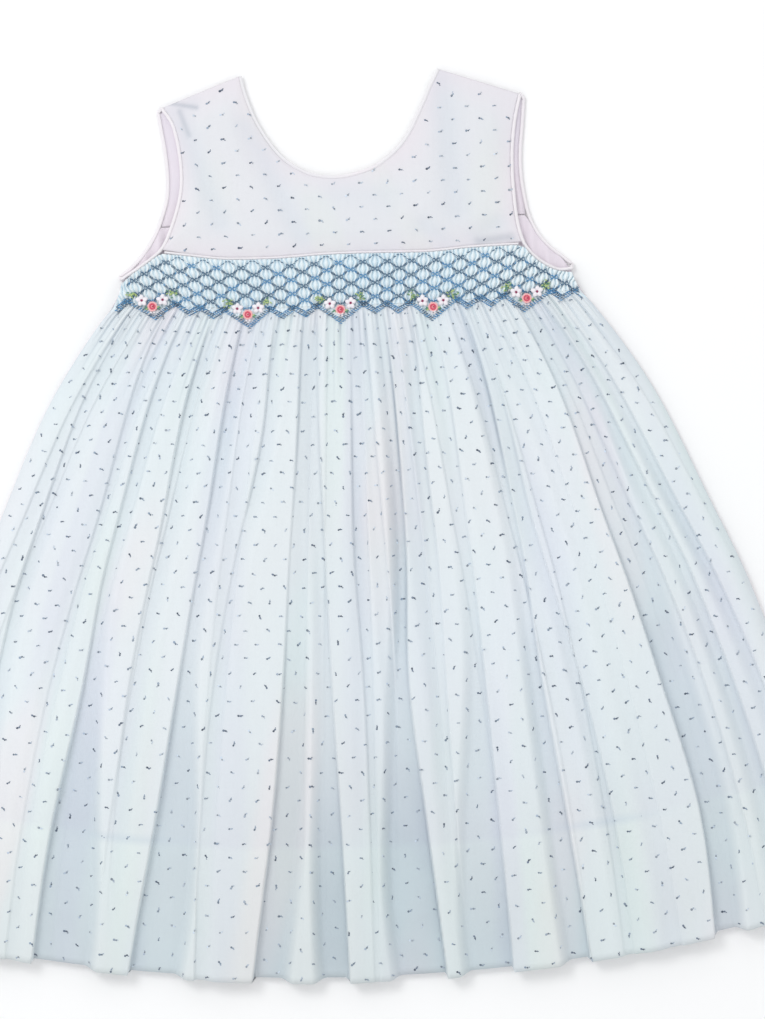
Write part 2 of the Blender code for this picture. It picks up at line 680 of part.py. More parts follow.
def make_dress():
    for leftover in list(bpy.data.objects):
        bpy.data.objects.remove(leftover)
    yoke_cloth = make_material("yoke_cloth", PALE_BLUE, 0.85)
    back_cloth = make_material("back_cloth", LAVENDER, 0.88)
    skirt_cloth = make_material("skirt_cloth", PALE_BLUE, 0.85)
    piping_cloth = make_material("piping_cloth", PINK_WHITE, 0.8)
    make_yoke_back("yoke_back_left", -1, back_cloth)
    make_yoke_back("yoke_back_right", 1, back_cloth)
    make_skirt_back(back_cloth)
    make_yoke_front(yoke_cloth)
    make_skirt_front(skirt_cloth)
    left_loop = arm_piping_line(FRONT_ARM_LEFT, BACK_ARM_LEFT)
    right_loop = arm_piping_line(FRONT_ARM_RIGHT, BACK_ARM_RIGHT)
    add_piping("armhole_piping_left", left_loop, ARM_PIPING_RADIUS, True, piping_cloth)
    add_piping("armhole_piping_right", right_loop, ARM_PIPING_RADIUS, True, piping_cloth)
    make_neck_piping(piping_cloth)
    make_seam_piping(piping_cloth)


make_dress()
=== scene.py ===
import math
import random

import bmesh
import bpy
import numpy as np
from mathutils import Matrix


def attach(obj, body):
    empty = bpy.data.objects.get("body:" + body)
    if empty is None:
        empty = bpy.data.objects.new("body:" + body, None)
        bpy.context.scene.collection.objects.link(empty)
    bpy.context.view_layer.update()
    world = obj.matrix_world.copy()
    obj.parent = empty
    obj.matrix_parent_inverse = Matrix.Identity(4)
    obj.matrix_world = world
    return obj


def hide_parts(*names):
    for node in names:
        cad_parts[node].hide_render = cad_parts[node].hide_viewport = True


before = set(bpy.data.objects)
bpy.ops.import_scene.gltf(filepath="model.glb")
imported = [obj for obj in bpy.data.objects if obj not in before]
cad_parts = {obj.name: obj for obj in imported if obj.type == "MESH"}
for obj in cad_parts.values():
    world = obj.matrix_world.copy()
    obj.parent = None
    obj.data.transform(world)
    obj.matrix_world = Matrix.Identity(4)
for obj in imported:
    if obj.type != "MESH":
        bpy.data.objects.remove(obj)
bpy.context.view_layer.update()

print("frame loaded")

mm = 0.001  # the dress is worked out in millimetres and built in metres

dress = {
    "outlineMiddle": -159.95,  # y of the garment's middle, measured from the yoke seam
    "seamGap": 0.0,
    "yokeWall": 1.4,
    "skirtWall": 1.2,
    "armPiping": 1.0,
    "neckPiping": 0.8,
    "seamPiping": 0.8,
    "backPiping": 0.65,
}

outline = {
    "neck": ((-58.0, 105.5), (-55.4, 94.0), (-48.5, 76.4), (-36.2, 58.4), (-21.0, 47.8), (-5.0, 44.6),
             (9.0, 46.6), (22.0, 51.7), (36.6, 64.6), (47.4, 84.0), (52.5, 95.0), (58.2, 105.7)),
    "frontArmLeft": ((-104.4, 88.2), (-98.5, 78.5), (-95.2, 63.0), (-94.3, 48.0), (-95.6, 36.0), (-98.9, 24.4),
                     (-104.0, 11.6), (-108.6, 4.6), (-115.5, -0.8), (-124.3, -6.6), (-131.5, -10.8)),
    "frontArmRight": ((105.3, 89.6), (101.7, 75.0), (99.6, 59.0), (99.1, 44.0), (99.6, 30.0), (100.6, 18.0),
                      (102.4, 8.4), (105.2, 0.9), (110.2, -5.4), (117.0, -10.6), (124.5, -13.9), (131.8, -13.4)),
    "backArmLeft": ((-106.6, 86.0), (-105.0, 75.0), (-103.2, 62.0), (-102.3, 48.0), (-103.0, 36.0),
                    (-106.2, 25.0), (-110.6, 14.5), (-116.4, 5.3), (-124.0, -3.4), (-132.3, -9.6)),
    "backArmRight": ((107.3, 87.0), (105.9, 72.0), (104.2, 56.0), (104.2, 42.0), (105.8, 29.0), (108.2, 18.0),
                     (112.8, 8.2), (119.2, 0.2), (126.4, -5.8), (132.4, -11.0)),
    "yokeSeam": ((-107.0, 4.2), (-88.0, 1.4), (-69.5, -0.9), (-40.0, -1.3), (-10.4, 0.0), (15.8, 0.0),
                 (48.6, -0.4), (73.3, 1.2), (102.6, 1.9)),
    "side": ((20.0, 131.0), (-12.0, 131.3), (-26.0, 136.0), (-34.0, 143.0), (-55.0, 158.5), (-79.0, 174.0),
             (-104.0, 187.0), (-149.0, 207.0), (-196.0, 228.0), (-260.0, 250.0), (-320.0, 266.0),
             (-380.0, 278.0), (-440.0, 287.0)),
    "frontLift": ((110.0, 1.7), (70.0, 1.7), (45.0, 1.7), (25.0, 3.0), (-18.0, 3.0), (-60.0, 2.0),
                  (-110.0, 1.6), (-150.0, 1.6), (-440.0, 1.6)),
    "rollTop": ((20.0, 6.4), (-29.0, 6.4), (-45.0, 8.2), (-80.0, 10.2), (-150.0, 12.2), (-250.0, 13.2),
                (-440.0, 12.6)),
}


def softStep(low, high, value):
    part = np.clip((value - low) / (high - low), 0.0, 1.0)
    return part * part * (3.0 - 2.0 * part)


def smoothTable(table, keys):
    # the same soft curve through a two-column table that the solids use
    rows = np.array(table, dtype=float)
    heights, values = rows[:, 0], rows[:, 1]
    keys = np.clip(np.asarray(keys, dtype=float), heights[-1], heights[0])
    last = len(heights) - 2
    row = np.clip(np.searchsorted(-heights, -keys, side="right") - 1, 0, last)
    span = heights[row] - heights[row + 1]
    share = (heights[row] - keys) / span
    before = np.maximum(row - 1, 0)
    after = np.minimum(row + 2, last + 1)
    plain = values[row + 1] - values[row]
    reachHigh = np.where(row > 0, heights[before] - heights[row + 1], 1.0)
    slopeHigh = np.where(row > 0, (values[row + 1] - values[before]) / reachHigh * span, plain)
    reachLow = np.where(row < last, heights[row] - heights[after], 1.0)
    slopeLow = np.where(row < last, (values[after] - values[row]) / reachLow * span, plain)
    square, cube = share ** 2, share ** 3
    return (values[row] * (2 * cube - 3 * square + 1) + slopeHigh * (cube - 2 * square + share)
            + values[row + 1] * (3 * square - 2 * cube) + slopeLow * (cube - square))


def curveThrough(points, count):
    points = np.array(points, dtype=float)
    padded = np.vstack([points[:1], points, points[-1:]])
    fine = []
    for index in range(len(points) - 1):
        a, b, c, d = padded[index:index + 4]
        for step in range(12):
            t = step / 12.0
            fine.append(0.5 * (2 * b + (c - a) * t + (2 * a - 5 * b + 4 * c - d) * t * t
                               + (3 * b - a - 3 * c + d) * t ** 3))
    fine.append(points[-1])
    fine = np.array(fine)
    runs = np.concatenate([[0.0], np.cumsum(np.linalg.norm(np.diff(fine, axis=0), axis=1))])
    places = np.linspace(0.0, runs[-1], count)
    return np.stack([np.interp(places, runs, fine[:, axis]) for axis in range(fine.shape[1])], axis=1)


def movedLeft(line, distance):
    run = np.gradient(line[:, :2], axis=0)
    run /= np.linalg.norm(run, axis=1)[:, None]
    return line[:, :2] + np.stack([-run[:, 1], run[:, 0]], axis=1) * distance


def waves(seed, x, y, scaleX, scaleY, count=5):
    # soft uneven waves between about -1 and 1
    chance = random.Random(seed)
    total = np.zeros(np.broadcast(x, y).shape)
    for _ in range(count):
        total += np.sin(2 * math.pi * (x / scaleX * chance.uniform(0.5, 1.5) + chance.random())
                        + 2 * math.pi * y / scaleY * chance.uniform(-1.0, 1.0))
    return total / count


def addPiece(name, points, faces, material, replaces=(), colours=None):
    mesh = bpy.data.meshes.new(name)
    points = np.asarray(points, dtype=float) * mm
    points[:, 1] -= dress["outlineMiddle"] * mm
    mesh.from_pydata(points.tolist(), [], faces if isinstance(faces, list) else faces.tolist())
    mesh.materials.append(material)
    mesh.update()
    if colours is not None:
        tones = mesh.color_attributes.new("clothToneAndShade", "FLOAT_COLOR", "POINT")
        tones.data.foreach_set("color", np.column_stack([colours, np.ones(len(colours))]).ravel())
    piece = bpy.data.objects.new(name, mesh)
    bpy.context.scene.collection.objects.link(piece)
    mesh.shade_smooth()
    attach(piece, "root")
    for node in replaces:
        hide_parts(node)
    return piece


def gridFaces(rows, columns, start=0, flip=False):
    index = np.arange(rows * columns).reshape(rows, columns) + start
    quads = np.stack([index[:-1, :-1], index[:-1, 1:], index[1:, 1:], index[1:, :-1]], axis=-1).reshape(-1, 4)
    return quads[:, ::-1] if flip else quads


def closedGrid(top, under):
    # one closed wall from two grids of points; the under one may be coarser by a whole step
    rows, columns = top.shape[:2]
    stepRows = (rows - 1) // (under.shape[0] - 1)
    stepColumns = (columns - 1) // (under.shape[1] - 1)
    points = np.vstack([top.reshape(-1, 3), under.reshape(-1, 3)])
    faces = gridFaces(rows, columns, flip=True).tolist()
    faces += gridFaces(under.shape[0], under.shape[1], start=rows * columns).tolist()
    upper = np.arange(rows * columns).reshape(rows, columns)
    lower = np.arange(under.shape[0] * under.shape[1]).reshape(under.shape[:2]) + rows * columns
    for edge, base, step, turn in ((upper[0], lower[0], stepColumns, False), (upper[-1], lower[-1], stepColumns, True),
                                   (upper[:, 0], lower[:, 0], stepRows, True),
                                   (upper[:, -1], lower[:, -1], stepRows, False)):
        for place in range(len(base) - 1):
            strip = list(edge[place * step:(place + 1) * step + 1]) + [base[place + 1], base[place]]
            faces.append([int(v) for v in (strip[::-1] if turn else strip)])
    return points, faces


# Shader graphs are written as expressions on sockets.
class Socket:
    def __init__(self, graph, socket):
        self.graph = graph
        self.socket = socket

    def isColour(self):
        return self.socket.type in ("RGBA", "VECTOR")

    def combine(self, operation, first, second):
        colour = any(isinstance(side, Socket) and side.isColour() for side in (first, second))
        if colour:
            return self.graph.node("ShaderNodeVectorMath", {"operation": operation},
                                   {0: self.graph.asVector(first), 1: self.graph.asVector(second)})
        return self.graph.node("ShaderNodeMath", {"operation": operation}, {0: first, 1: second})

    def __add__(self, other):
        return self.combine("ADD", self, other)

    def __radd__(self, other):
        return self.combine("ADD", other, self)

    def __sub__(self, other):
        return self.combine("SUBTRACT", self, other)

    def __rsub__(self, other):
        return self.combine("SUBTRACT", other, self)

    def __mul__(self, other):
        return self.combine("MULTIPLY", self, other)

    def __rmul__(self, other):
        return self.combine("MULTIPLY", other, self)

    def __pow__(self, other):
        return self.combine("POWER", self, other)


class Shader:
    def __init__(self, name):
        self.material = bpy.data.materials.new(name)
        self.material.use_nodes = True
        self.tree = self.material.node_tree
        self.surface = self.tree.nodes["Principled BSDF"]

    def asVector(self, value):
        return value if isinstance(value, (Socket, tuple)) else (value, value, value)

    def node(self, kind, settings=None, inputs=None, output=0):
        made = self.tree.nodes.new(kind)
        for key, value in (settings or {}).items():
            if key == "stops":
                for index, (place, colour) in enumerate(value):
                    stop = made.color_ramp.elements[index] if index < 2 else made.color_ramp.elements.new(place)
                    stop.position = place
                    stop.color = colour
            else:
                setattr(made, key, value)
        for key, value in (inputs or {}).items():
            if isinstance(value, Socket):
                self.tree.links.new(value.socket, made.inputs[key])
            else:
                made.inputs[key].default_value = value
        return Socket(self, made.outputs[output])

    def mix(self, share, first, second):
        return self.node("ShaderNodeMix", {"data_type": "RGBA"}, {0: share, 6: first, 7: second}, 2)

    def noise(self, place, scale, detail=2.0, output=0):
        return self.node("ShaderNodeTexNoise", {}, {"Vector": place, "Scale": scale, "Detail": detail}, output)

    def feed(self, key, value):
        if isinstance(value, Socket):
            self.tree.links.new(value.socket, self.surface.inputs[key])
        else:
            self.surface.inputs[key].default_value = value


def stretch(shader, place, scale):
    return shader.node("ShaderNodeMapping", {}, {"Vector": place, "Scale": scale})


cloth = {
    "threadPitch": 0.00045,  # one warp or weft thread
    "weaveHeight": 0.00006,
    "slubHeight": 0.00012,
    "roughness": 0.88,
    "sheen": 0.12,
}


def clothMaterial(name, light, cool, warm, painted=False):
    # plain-woven cotton: two crossed threads, slow tints and faint slubs
    shader = Shader(name)
    place = shader.node("ShaderNodeTexCoord", {}, {}, 3)
    slow = shader.noise(place, 9.0, 3.0)
    blush = shader.noise(stretch(shader, place, (1.0, 0.5, 1.0)), 14.0, 2.0)
    slub = shader.noise(stretch(shader, place, (420.0, 40.0, 420.0)), 1.0, 2.0)
    tint = shader.node("ShaderNodeValToRGB", {"stops": ((0.42, (0, 0, 0, 1)), (0.62, (1, 1, 1, 1)))}, {0: slow})
    pink = shader.node("ShaderNodeValToRGB", {"stops": ((0.50, (0, 0, 0, 1)), (0.72, (1, 1, 1, 1)))}, {0: blush})
    if painted:
        # on the skirt, band and yoke the attribute holds the cloth's tone with painted shade in folds, pleats and
        # hollows
        light = shader.node("ShaderNodeAttribute", {"attribute_name": "clothToneAndShade"})
        tint = tint * 0.25
        pink = pink * 0.25
    colour = shader.mix(tint, light, cool)
    colour = shader.mix(pink, colour, warm)
    pitch = 2.0 * math.pi / cloth["threadPitch"]
    split = shader.node("ShaderNodeSeparateXYZ", {}, {0: place}, 0)
    across = Socket(shader, split.socket)
    down = Socket(shader, split.socket.node.outputs[1])
    warp = shader.node("ShaderNodeMath", {"operation": "SINE"}, {0: across * pitch})
    weft = shader.node("ShaderNodeMath", {"operation": "SINE"}, {0: down * pitch})
    weave = warp * weft
    colour = colour * (0.985 + 0.03 * slub)
    shader.feed("Base Color", colour)
    height = weave * cloth["weaveHeight"] + slub * cloth["slubHeight"]
    bump = shader.node("ShaderNodeBump", {}, {"Strength": 0.5, "Distance": 1.0, "Height": height})
    shader.feed("Normal", bump)
    shader.feed("Roughness", cloth["roughness"])
    shader.feed("Sheen Weight", cloth["sheen"])
    shader.feed("Sheen Roughness", 0.5)
    shader.feed("Specular IOR Level", 0.2)
    return shader.material


def threadMaterial(name, colour, darker, gloss=0.55, painted=False):
    # stranded cotton: small shifts of shade from stitch to stitch and a fine twist
    shader = Shader(name)
    place = shader.node("ShaderNodeTexCoord", {}, {}, 3)
    shade = shader.noise(place, 260.0, 2.0)
    twist = shader.node("ShaderNodeTexWave", {"bands_direction": "DIAGONAL"},
                        {"Vector": place, "Scale": 900.0, "Distortion": 1.5})
    colour = shader.mix(shade, darker, colour)
    if painted:
        colour = colour * shader.node("ShaderNodeAttribute", {"attribute_name": "clothToneAndShade"})
    shader.feed("Base Color", colour)
    height = twist * 0.00005
    shader.feed("Normal", shader.node("ShaderNodeBump", {}, {"Strength": 0.6, "Distance": 1.0, "Height": height}))
    shader.feed("Roughness", gloss)
    shader.feed("Sheen Weight", 0.2)
    return shader.material


paint = {
    "yoke": clothMaterial("yokeCotton", (0.745, 0.765, 0.80, 1), (0.70, 0.75, 0.79, 1), (0.79, 0.765, 0.81, 1), True),
    "skirt": clothMaterial("skirtCotton", (0.76, 0.83, 0.88, 1), (0.72, 0.84, 0.86, 1), (0.76, 0.78, 0.88, 1), True),
    "band": clothMaterial("smockedCotton", (0.66, 0.83, 0.92, 1), (0.60, 0.80, 0.92, 1), (0.72, 0.82, 0.92, 1), True),
    "inside": clothMaterial("insideCotton", (0.80, 0.735, 0.80, 1), (0.76, 0.73, 0.81, 1), (0.85, 0.74, 0.79, 1)),
    "piping": clothMaterial("pipingCotton", (0.90, 0.83, 0.87, 1), (0.88, 0.84, 0.90, 1), (0.93, 0.78, 0.84, 1), True),
    "tuft": threadMaterial("tuftYarn", (1.0, 1.0, 1.0, 1), (0.72, 0.76, 0.82, 1), 0.9, True),
    "navy": threadMaterial("navyStrand", (0.07, 0.17, 0.29, 1), (0.03, 0.08, 0.16, 1)),
    "blue": threadMaterial("blueStrand", (0.10, 0.34, 0.60, 1), (0.04, 0.19, 0.42, 1)),
    "rose": threadMaterial("roseStrand", (0.76, 0.10, 0.17, 1), (0.60, 0.06, 0.12, 1)),
    "blushRose": threadMaterial("paleRoseStrand", (0.93, 0.55, 0.54, 1), (0.88, 0.38, 0.40, 1)),
    "white": threadMaterial("whiteStrand", (0.93, 0.90, 0.92, 1), (0.82, 0.78, 0.84, 1)),
    "plum": threadMaterial("plumStrand", (0.35, 0.04, 0.13, 1), (0.22, 0.02, 0.08, 1)),
    "leaf": threadMaterial("leafStrand", (0.14, 0.32, 0.20, 1), (0.06, 0.20, 0.16, 1)),
    "sprig": threadMaterial("sprigStrand", (0.52, 0.63, 0.27, 1), (0.36, 0.50, 0.20, 1)),
    "sewing": threadMaterial("sewingThread", (0.78, 0.80, 0.86, 1), (0.66, 0.70, 0.78, 1), 0.8),
}
print("materials made")

creaseHeights = (-45.0, -100.0, -170.0, -250.0, -330.0, -420.0)
creaseColumns = ("name", "top", "upper", "middle", "lower", "deep", "hem", "floorTop", "floorHem",
                 "depthTop", "depthMiddle", "depthHem", "side")
creaseRows = (
    ("a", -0.890, -0.885, -0.880, -0.865, -0.855, -0.845, 3, 9, 0.30, 0.35, 0.50, 1),
    ("b", -0.745, -0.722, -0.720, -0.735, -0.745, -0.755, 3, 3, 0.45, 0.20, 0.10, 1),
    ("c", -0.665, -0.660, -0.660, -0.655, -0.680, -0.700, 3, 30, 0.35, 0.40, 0.90, 1),
    ("d", -0.545, -0.540, -0.535, -0.545, -0.545, -0.545, 3, 3, 0.55, 0.30, 0.00, 1),
    ("e", -0.415, -0.410, -0.413, -0.430, -0.455, -0.500, 3, 26, 0.60, 0.42, 0.90, 1),
    ("f", -0.285, -0.275, -0.315, -0.345, -0.355, -0.360, 3, 4, 0.40, 0.20, 0.12, 1),
    ("g", -0.175, -0.167, -0.173, -0.180, -0.200, -0.240, 8, 15, 0.35, 0.26, 0.85, 1),
    ("h", -0.120, -0.105, -0.085, -0.070, -0.055, -0.045, 3, 13, 0.40, 0.30, 0.85, -1),
    ("i", 0.012, 0.002, -0.003, 0.010, 0.012, 0.010, 2, 3, 0.10, 0.35, 0.12, 1),
    ("j", 0.068, 0.070, 0.078, 0.080, 0.070, 0.060, 3, 4, 0.40, 0.25, 0.10, -1),
    ("k", 0.146, 0.142, 0.133, 0.112, 0.130, 0.155, 3, 25, 0.70, 0.80, 0.95, -1),
    ("l", 0.250, 0.222, 0.215, 0.200, 0.195, 0.205, 3, 4, 0.50, 0.35, 0.10, -1),
    ("m", 0.335, 0.320, 0.303, 0.292, 0.288, 0.292, 3, 23, 0.25, 0.30, 0.80, -1),
    ("n", 0.465, 0.452, 0.440, 0.425, 0.435, 0.453, 3, 10, 0.60, 0.50, 0.80, -1),
    ("o", 0.500, 0.493, 0.487, 0.515, 0.535, 0.545, 2, 3, 0.10, 0.40, 0.15, -1),
    ("p", 0.690, 0.690, 0.690, 0.705, 0.728, 0.715, 13, 11, 0.45, 0.75, 0.85, 1),
    ("q", 0.752, 0.757, 0.775, 0.800, 0.815, 0.825, 3, 3, 0.30, 0.45, 0.10, -1),
    ("r", 0.808, 0.820, 0.850, 0.868, 0.885, 0.900, 3, 8, 0.45, 0.50, 0.45, -1),
    ("t", 0.870, 0.883, 0.908, 0.935, 0.948, 0.955, 2, 3, 0.40, 0.50, 0.10, -1),
)
creases = [dict(zip(creaseColumns, row)) for row in creaseRows]


def smallCreases(seed, count):
    # slight folds between the main ones, spread out from the gathers toward the hem
    chance = random.Random(seed)
    made = []
    for index in range(count):
        start = -0.96 + 1.92 * (index + chance.uniform(0.15, 0.85)) / count
        drift = chance.uniform(-0.03, 0.03)
        places = [start * (1.0 + 0.02 * step) + drift * step / 5.0 for step in range(6)]
        floor = chance.uniform(1.5, 5.0)
        depths = (chance.uniform(0.10, 0.34), chance.uniform(0.06, 0.26), chance.uniform(0.0, 0.14))
        made.append(dict(zip(creaseColumns, ("small", *places, floor, floor * 1.5, *depths, chance.choice((-1, 1))))))
    return made


creases += smallCreases(17, 18)

skirt = {
    "columns": 868,
    "rows": 104,
    "wallRun": 1.1,
    "riseTop": 7.0,
    "riseHem": 8.5,
    "sideRoll": 13.0,
    "hemMiddle": -422.0,
    "hemCurve": 4.6e-4,
    "hemHalf": 284.0,
    "hemScallop": 4.0,
    "hemDepth": 75.0,
    "cutWidth": 610.0,
    "cutLength": 400.0,
    "gatherSeed": 12,
}

smocking = {
    "bottom": -31.0,
    "smile": 5.0,
    "bottomHalf": 139.5,
    "taper": -0.27,
    "pitch": 13.6,  # width of one diamond
    "pleatsPerDiamond": 6,
    "rowTop": -1.7,
    "rowStep": 4.07,
    "middle": -4.1,  # x of the middle motif
    "pleatHeight": 1.9,
    "puffHeight": 0.8,
    "wall": 1.0,
    "rows": 46,
}


def sideAt(y):
    return smoothTable(outline["side"], y)


def creaseAt(crease, y):
    places = tuple(zip(creaseHeights, (crease[key] for key in ("top", "upper", "middle", "lower", "deep", "hem"))))
    return smoothTable(places, y)


def creaseDepth(crease, y):
    depth = smoothTable(((-30.0, 0.0), (-50.0, crease["depthTop"]), (-180.0, crease["depthMiddle"]),
                         (-400.0, crease["depthHem"])), y)
    return depth * (0.86 + 0.14 * np.sin(y / 31.0 + 50.0 * crease["upper"]))


def openness(x, y):
    half = sideAt(y)
    share = np.ones(np.broadcast(x, y).shape)
    rise = skirt["riseTop"] + (skirt["riseHem"] - skirt["riseTop"]) * softStep(-40.0, -330.0, y)
    for crease in creases:
        along = (x - creaseAt(crease, y) * half) * crease["side"]
        floor = crease["floorTop"] + (crease["floorHem"] - crease["floorTop"]) * softStep(-210.0, -400.0, y)
        depth = creaseDepth(crease, y)
        notch = softStep(-skirt["wallRun"], 0.0, along) * (1.0 - softStep(0.0, 1.0, (along - floor) / rise))
        share = share * (1.0 - depth * notch)
    edge = np.clip((half - np.abs(x)) / skirt["sideRoll"], 0.0, 1.0)
    return share * np.sqrt(1.0 - (1.0 - edge) ** 2)


def clothPlace(x, y):
    # x of the same thread at the foot of the smocking
    return x / sideAt(y) * smocking["bottomHalf"]


def gatherRidge(x, y):
    # gathers under the smocking: two to a diamond, uneven, fading down the skirt
    chance = random.Random(skirt["gatherSeed"])
    count = 60
    rises = np.array([chance.uniform(0.9, 1.9) for _ in range(count)])
    lengths = np.array([chance.uniform(35.0, 95.0) for _ in range(count)])
    leans = np.array([chance.uniform(-0.22, 0.22) for _ in range(count)])
    place = (clothPlace(x, y) - smocking["middle"]) / smocking["pitch"] * 2.0 + count // 2
    index = np.clip(np.floor(place).astype(int), 0, count - 1)
    part = place - np.floor(place)
    lean = 0.5 + leans[index]
    bent = np.where(part < lean, 0.5 * part / lean, 0.5 + 0.5 * (part - lean) / (1.0 - lean))
    fade = 1.0 - softStep(0.0, 1.0, (smocking["bottom"] - y) / lengths[index])
    sharp = (0.5 - 0.5 * np.cos(2.0 * math.pi * bent)) ** 0.8
    fine = 0.5 - 0.5 * np.cos(2.0 * math.pi * place * 3.0)
    near = 1.0 - softStep(0.0, 22.0, smocking["bottom"] - y)
    return rises[index] * fade * sharp + 0.9 * near * fine


def skirtHeight(x, y):
    share = openness(x, y)
    base = smoothTable(outline["frontLift"], y) + dress["skirtWall"]
    top = smoothTable(outline["rollTop"], y)
    soft = np.minimum(1.0, 4.0 * share)
    down = softStep(-40.0, -120.0, y)
    small = 0.55 * waves(4, clothPlace(x, y), y, 14.0, 260.0) * down
    broad = 0.5 * waves(9, x, y, 70.0, 150.0) * down
    return base + (top - base) * share + soft * (gatherRidge(x, y) + small + broad)


def topLine(arms, cutOff, seam, corners):
    # top edge of a skirt panel: up one armhole, along the seam and down the other
    inset = dress["armPiping"] + dress["seamGap"]
    left = movedLeft(curveThrough(outline[arms[0]][::-1], 48), -inset)[3:]
    right = movedLeft(curveThrough(outline[arms[1]], 48), -inset)[:-3]
    left = left[left[:, 1] < cutOff[0]]
    right = right[right[:, 1] < cutOff[1]]
    return np.vstack([corners[0], left, seam, right, corners[1]])


def underarm(arm, side):
    return (131.0 * side, outline[arm][-1][1] - 2.4)


seamEdge = movedLeft(curveThrough(outline["yokeSeam"], 48), -dress["seamPiping"] - dress["seamGap"])
seamEdge = seamEdge[np.abs(seamEdge[:, 0]) < 100.0]
frontTop = topLine(("frontArmLeft", "frontArmRight"), (3.0, 0.5), np.vstack([(-107.0, 3.0), seamEdge, (101.5, 0.8)]),
                   (underarm("frontArmLeft", -1), underarm("frontArmRight", 1)))
backTop = topLine(("backArmLeft", "backArmRight"), (16.0, 16.0), ((-107.3, 18.8), (106.0, 18.8)),
                  (underarm("backArmLeft", -1), underarm("backArmRight", 1)))


def onTop(line, place, narrowing=0.0):
    y = np.interp(place * 131.0, line[:, 0], line[:, 1])
    for _ in range(4):
        y = np.interp(place * (sideAt(y) - narrowing), line[:, 0], line[:, 1])
    return y


def bandFoot(place):
    return smocking["bottom"] + smocking["smile"] * place ** 2


def hemAt(place):
    return skirt["hemMiddle"] + skirt["hemCurve"] * (place * skirt["hemHalf"]) ** 2


def bandHalf(y):
    # half width across the smocked rows, narrower toward the yoke
    return smocking["bottomHalf"] + smocking["taper"] * (smocking["bottom"] - y)


def latticeLift(x):
    # the smocked rows follow the yoke seam and turn up a little toward the underarms
    seam = np.array(outline["yokeSeam"])
    return np.interp(x, seam[:, 0], seam[:, 1]) + 2.0 * softStep(80.0, 130.0, np.abs(x))


def bandHeight(x, y):
    # pleats drawn together at the nodes of the trellis and puffed between them
    flat = x * smocking["bottomHalf"] / bandHalf(y)
    row = (smocking["rowTop"] - (y - latticeLift(flat))) / smocking["rowStep"]
    column = (flat - smocking["middle"]) / smocking["pitch"]
    pulled = np.cos(2 * math.pi * column) * np.cos(math.pi * (row - 1.0))
    nip = 0.32 * np.sin(2 * math.pi * column) * np.cos(math.pi * (row - 1.0)) / smocking["pleatsPerDiamond"]
    pleat = (column + nip) * smocking["pleatsPerDiamond"]
    ridge = np.abs(np.cos(math.pi * pleat)) ** 1.3
    base = smoothTable(outline["frontLift"], y) + dress["skirtWall"] + 0.4
    return base + smocking["pleatHeight"] * (1.15 - 0.3 * pulled) * ridge + smocking["puffHeight"] * (0.5 - 0.5 * pulled)


def frontHeight(x, y):
    # smocking above its foot, skirt below, blended over a few millimetres
    place = x / sideAt(y)
    below = softStep(2.5, -3.5, y - bandFoot(place))
    return bandHeight(x, y) * (1.0 - below) + skirtHeight(x, y) * below


def blend(share, low, high):
    share = np.clip(share, 0.0, 1.0)[..., None]
    return np.asarray(low) * (1.0 - share) + np.asarray(high) * share


def slowTone(x, y):
    # broad patches: duller in the middle and at the lower right, a little lighter at the lower left
    middle = np.exp(-((x - 5.0) / 60.0) ** 2) * softStep(-60.0, -200.0, y)
    right = np.exp(-((x - 185.0) / 45.0) ** 2 - ((y + 270.0) / 120.0) ** 2)
    left = np.exp(-((x + 190.0) / 40.0) ** 2 - ((y + 290.0) / 70.0) ** 2)
    return 0.55 * middle + 0.6 * right - 0.5 * left


# The valley, band valley and yoke hollow colours are painted shade, and line is the colour of painted dark shade lines
# along folds, gathers and yoke wrinkles.
tone = {
    "crest": (0.775, 0.82, 0.845),
    "valleyShade": (0.56, 0.635, 0.705),
    "line": (0.33, 0.38, 0.45),
    "mint": (0.72, 0.82, 0.795),
    "lavender": (0.71, 0.735, 0.82),
    "warm": (0.84, 0.81, 0.83),
    "hem": (0.80, 0.86, 0.865),
    "bandCrest": (0.86, 0.93, 0.955),
    "bandValleyShade": (0.57, 0.75, 0.86),
    "yoke": (0.76, 0.78, 0.81),
    "yokeHollowShade": (0.655, 0.71, 0.765),
    "yokeMint": (0.755, 0.79, 0.79),
    "yokePink": (0.80, 0.755, 0.80),
    "pipingFront": (0.86, 0.825, 0.85),
    "pipingBack": (0.84, 0.79, 0.83),
    "neckEdge": (0.82, 0.81, 0.83),
    "lineWeights": {"k": 1.5, "n": 1.2, "j": 0.9, "i": 0.9, "h": 0.9, "g": 0.8, "p": 0.8, "small": 0.35},
}


def foldShadeLine(x, y):
    # painted shade: the thin dark line where one fold lies over the next
    half = sideAt(y)
    line = np.zeros(np.broadcast(x, y).shape)
    for crease in creases:
        along = (x - creaseAt(crease, y) * half) * crease["side"]
        high = softStep(-190.0, -90.0, y) * softStep(-30.0, -48.0, y)
        depth = np.clip(1.1 * creaseDepth(crease, y) + (0.5 * high if crease["name"] != "small" else 0.0), 0.0, 1.0)
        spread = np.where(along < 0.0, 0.45, 0.85)
        broken = 0.65 + 0.35 * np.sin(y / 23.0 + creaseAt(crease, y) * 40.0)
        weight = tone["lineWeights"].get(crease["name"], 0.6)
        line = np.maximum(line, weight * broken * depth * np.exp(-(along / spread) ** 2))
    return line


def gatherShadeLine(x, y):
    # painted shade: short dark lines of uneven length between the gathers
    chance = random.Random(skirt["gatherSeed"] + 1)
    count = 120
    strengths = np.array([chance.random() ** 1.6 for _ in range(count)])
    lengths = np.array([chance.uniform(8.0, 75.0) for _ in range(count)])
    place = (clothPlace(x, y) - smocking["middle"]) / smocking["pitch"] * 4.0 + count // 2
    index = np.clip(np.round(place).astype(int), 0, count - 1)
    away = (place - np.round(place)) * smocking["pitch"] / 4.0
    fade = 1.0 - softStep(0.3, 1.0, (smocking["bottom"] - y) / lengths[index])
    return strengths[index] * fade * np.exp(-(away / 0.5) ** 2)


